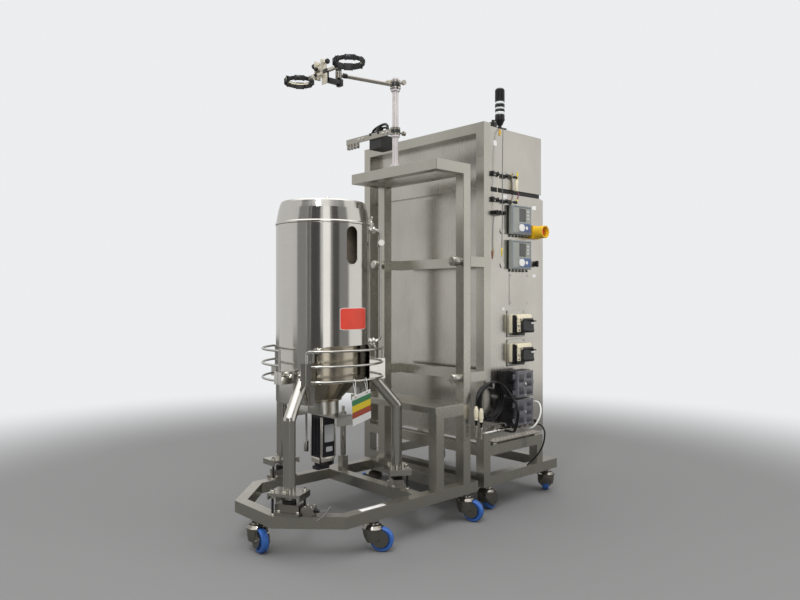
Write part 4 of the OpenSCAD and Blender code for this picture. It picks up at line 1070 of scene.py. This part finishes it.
PALE = (0.84, 0.85, 0.865, 1)
FLOOR_SEEN, FLOOR_MIRRORED = (0.205, 0.207, 0.21, 1), (0.125, 0.125, 0.12, 1)
FLOOR_FADE = (2.1, 4.6)          # metres from the middle, from floor to background
BOARD_REACH, BOARD_TOP = 5.2, 5.8
BOARDS = (                       # first and last degree, brightness
    (-168, -112, 0.66), (-100, -76, 0.27), (-75, -67, 0.16), (-66, -43, 0.075), (-37, -19, 1.15), (-19, -14, 0.28),
    (-14, 2, 0.09), (2, 26, 0.27), (28, 80, 0.86), (80, 94, 0.28), (96, 150, 0.42),
)
AIM = Vector((0, 0, 0.9))
LIGHTS = (                       # name, place, size in metres, watts
    ("key", (2.6, -3.2, 4.2), (2.2, 2.2), 62),
    ("fill", (3.6, 1.6, 3.4), (2.2, 2.2), 40),
    ("left", (-3.4, -1.6, 3.2), (2.0, 2.0), 30),
    ("glint", (1.7, -2.4, 4.4), (0.35, 1.6), 34),
)


def make_floor():
    """Grey floor that fades into the background and is darker in the steel's reflections."""
    paint = bpy.data.materials.new("floor_paint")
    t = Tree(paint)
    path = t.add("LightPath").outputs
    near = t.add("BsdfDiffuse", FLOOR_SEEN)
    mirrored = t.add("BsdfDiffuse", FLOOR_MIRRORED)
    far = t.add("Emission", PALE)
    distance = t.add("VectorMath", operation="LENGTH")
    t.link(t.add("TexCoord").outputs["Object"], distance.inputs[0])
    fade = t.spread(distance.outputs["Value"], 0, 1, *FLOOR_FADE, interpolation_type="SMOOTHSTEP")
    look = t.blend(t.math("MULTIPLY", fade, path["Is Camera Ray"]), near.outputs[0], far.outputs[0])
    look = t.blend(path["Is Glossy Ray"], look, mirrored.outputs[0])
    t.link(look, t.add("OutputMaterial").inputs[0])
    bm = bmesh.new()
    bmesh.ops.create_grid(bm, x_segments=4, y_segments=4, size=14)
    floor = add_mesh("floor", bm, paint)
    floor.location.z = -0.0005


def make_boards():
    """Boards outside the view that only the polished steel reflects: its upright bands."""
    for i, (start, stop, glow) in enumerate(BOARDS):
        finish = bpy.data.materials.new(f"board_{i}")
        t = Tree(finish)
        light = t.add("Emission", (1.0, 0.985, 0.955, 1), glow)
        t.link(light.outputs[0], t.add("OutputMaterial").inputs[0])
        bm = bmesh.new()
        columns = []
        for k in range(9):
            a = radians(start + (stop - start) * k / 8)
            x, y = AXIS.x + BOARD_REACH * cos(a), AXIS.y + BOARD_REACH * sin(a)
            columns.append([bm.verts.new((x, y, z)) for z in (0.0, BOARD_TOP)])
        skin(bm, columns, around=False)
        board = add_mesh(f"board_{i}", bm, finish)
        for ray in ("camera", "diffuse", "shadow", "transmission"):
            setattr(board, f"visible_{ray}", False)


def make_world():
    """A pale background for the camera and a softer sky, brighter overhead, for the rest."""
    world = bpy.data.worlds.new("world")
    bpy.context.scene.world = world
    t = Tree(world)
    path = t.add("LightPath").outputs
    seen = t.math("MAXIMUM", path["Is Camera Ray"], path["Is Transmission Ray"])
    pale = t.add("Background", PALE, 1.0)
    soft = t.add("Background", (1.0, 0.985, 0.96, 1))
    height = t.add("SeparateXYZ")
    t.link(t.add("TexCoord").outputs["Generated"], height.inputs[0])
    sky = t.spread(height.outputs["Z"], 0.64, 1.75, 0.55, 0.92, interpolation_type="SMOOTHSTEP")
    t.link(sky, soft.inputs[1])
    look = t.blend(seen, soft.outputs[0], pale.outputs[0])
    t.link(look, t.add("OutputWorld").inputs[0])


def make_lights():
    """Area lights that the steel doesn't mirror, apart from the small glint."""
    for name, place, size, power in LIGHTS:
        data = bpy.data.lights.new(name, "AREA")
        data.shape = "RECTANGLE"
        data.size, data.size_y = size
        data.energy = power
        light = bpy.data.objects.new(name, data)
        light.location = place
        light.rotation_euler = (AIM - Vector(place)).to_track_quat("-Z", "Y").to_euler()
        bpy.context.collection.objects.link(light)
        light.visible_glossy = name == "glint"


make_floor()
make_boards()
make_world()
make_lights()
bpy.context.scene.view_settings.view_transform = "Standard"
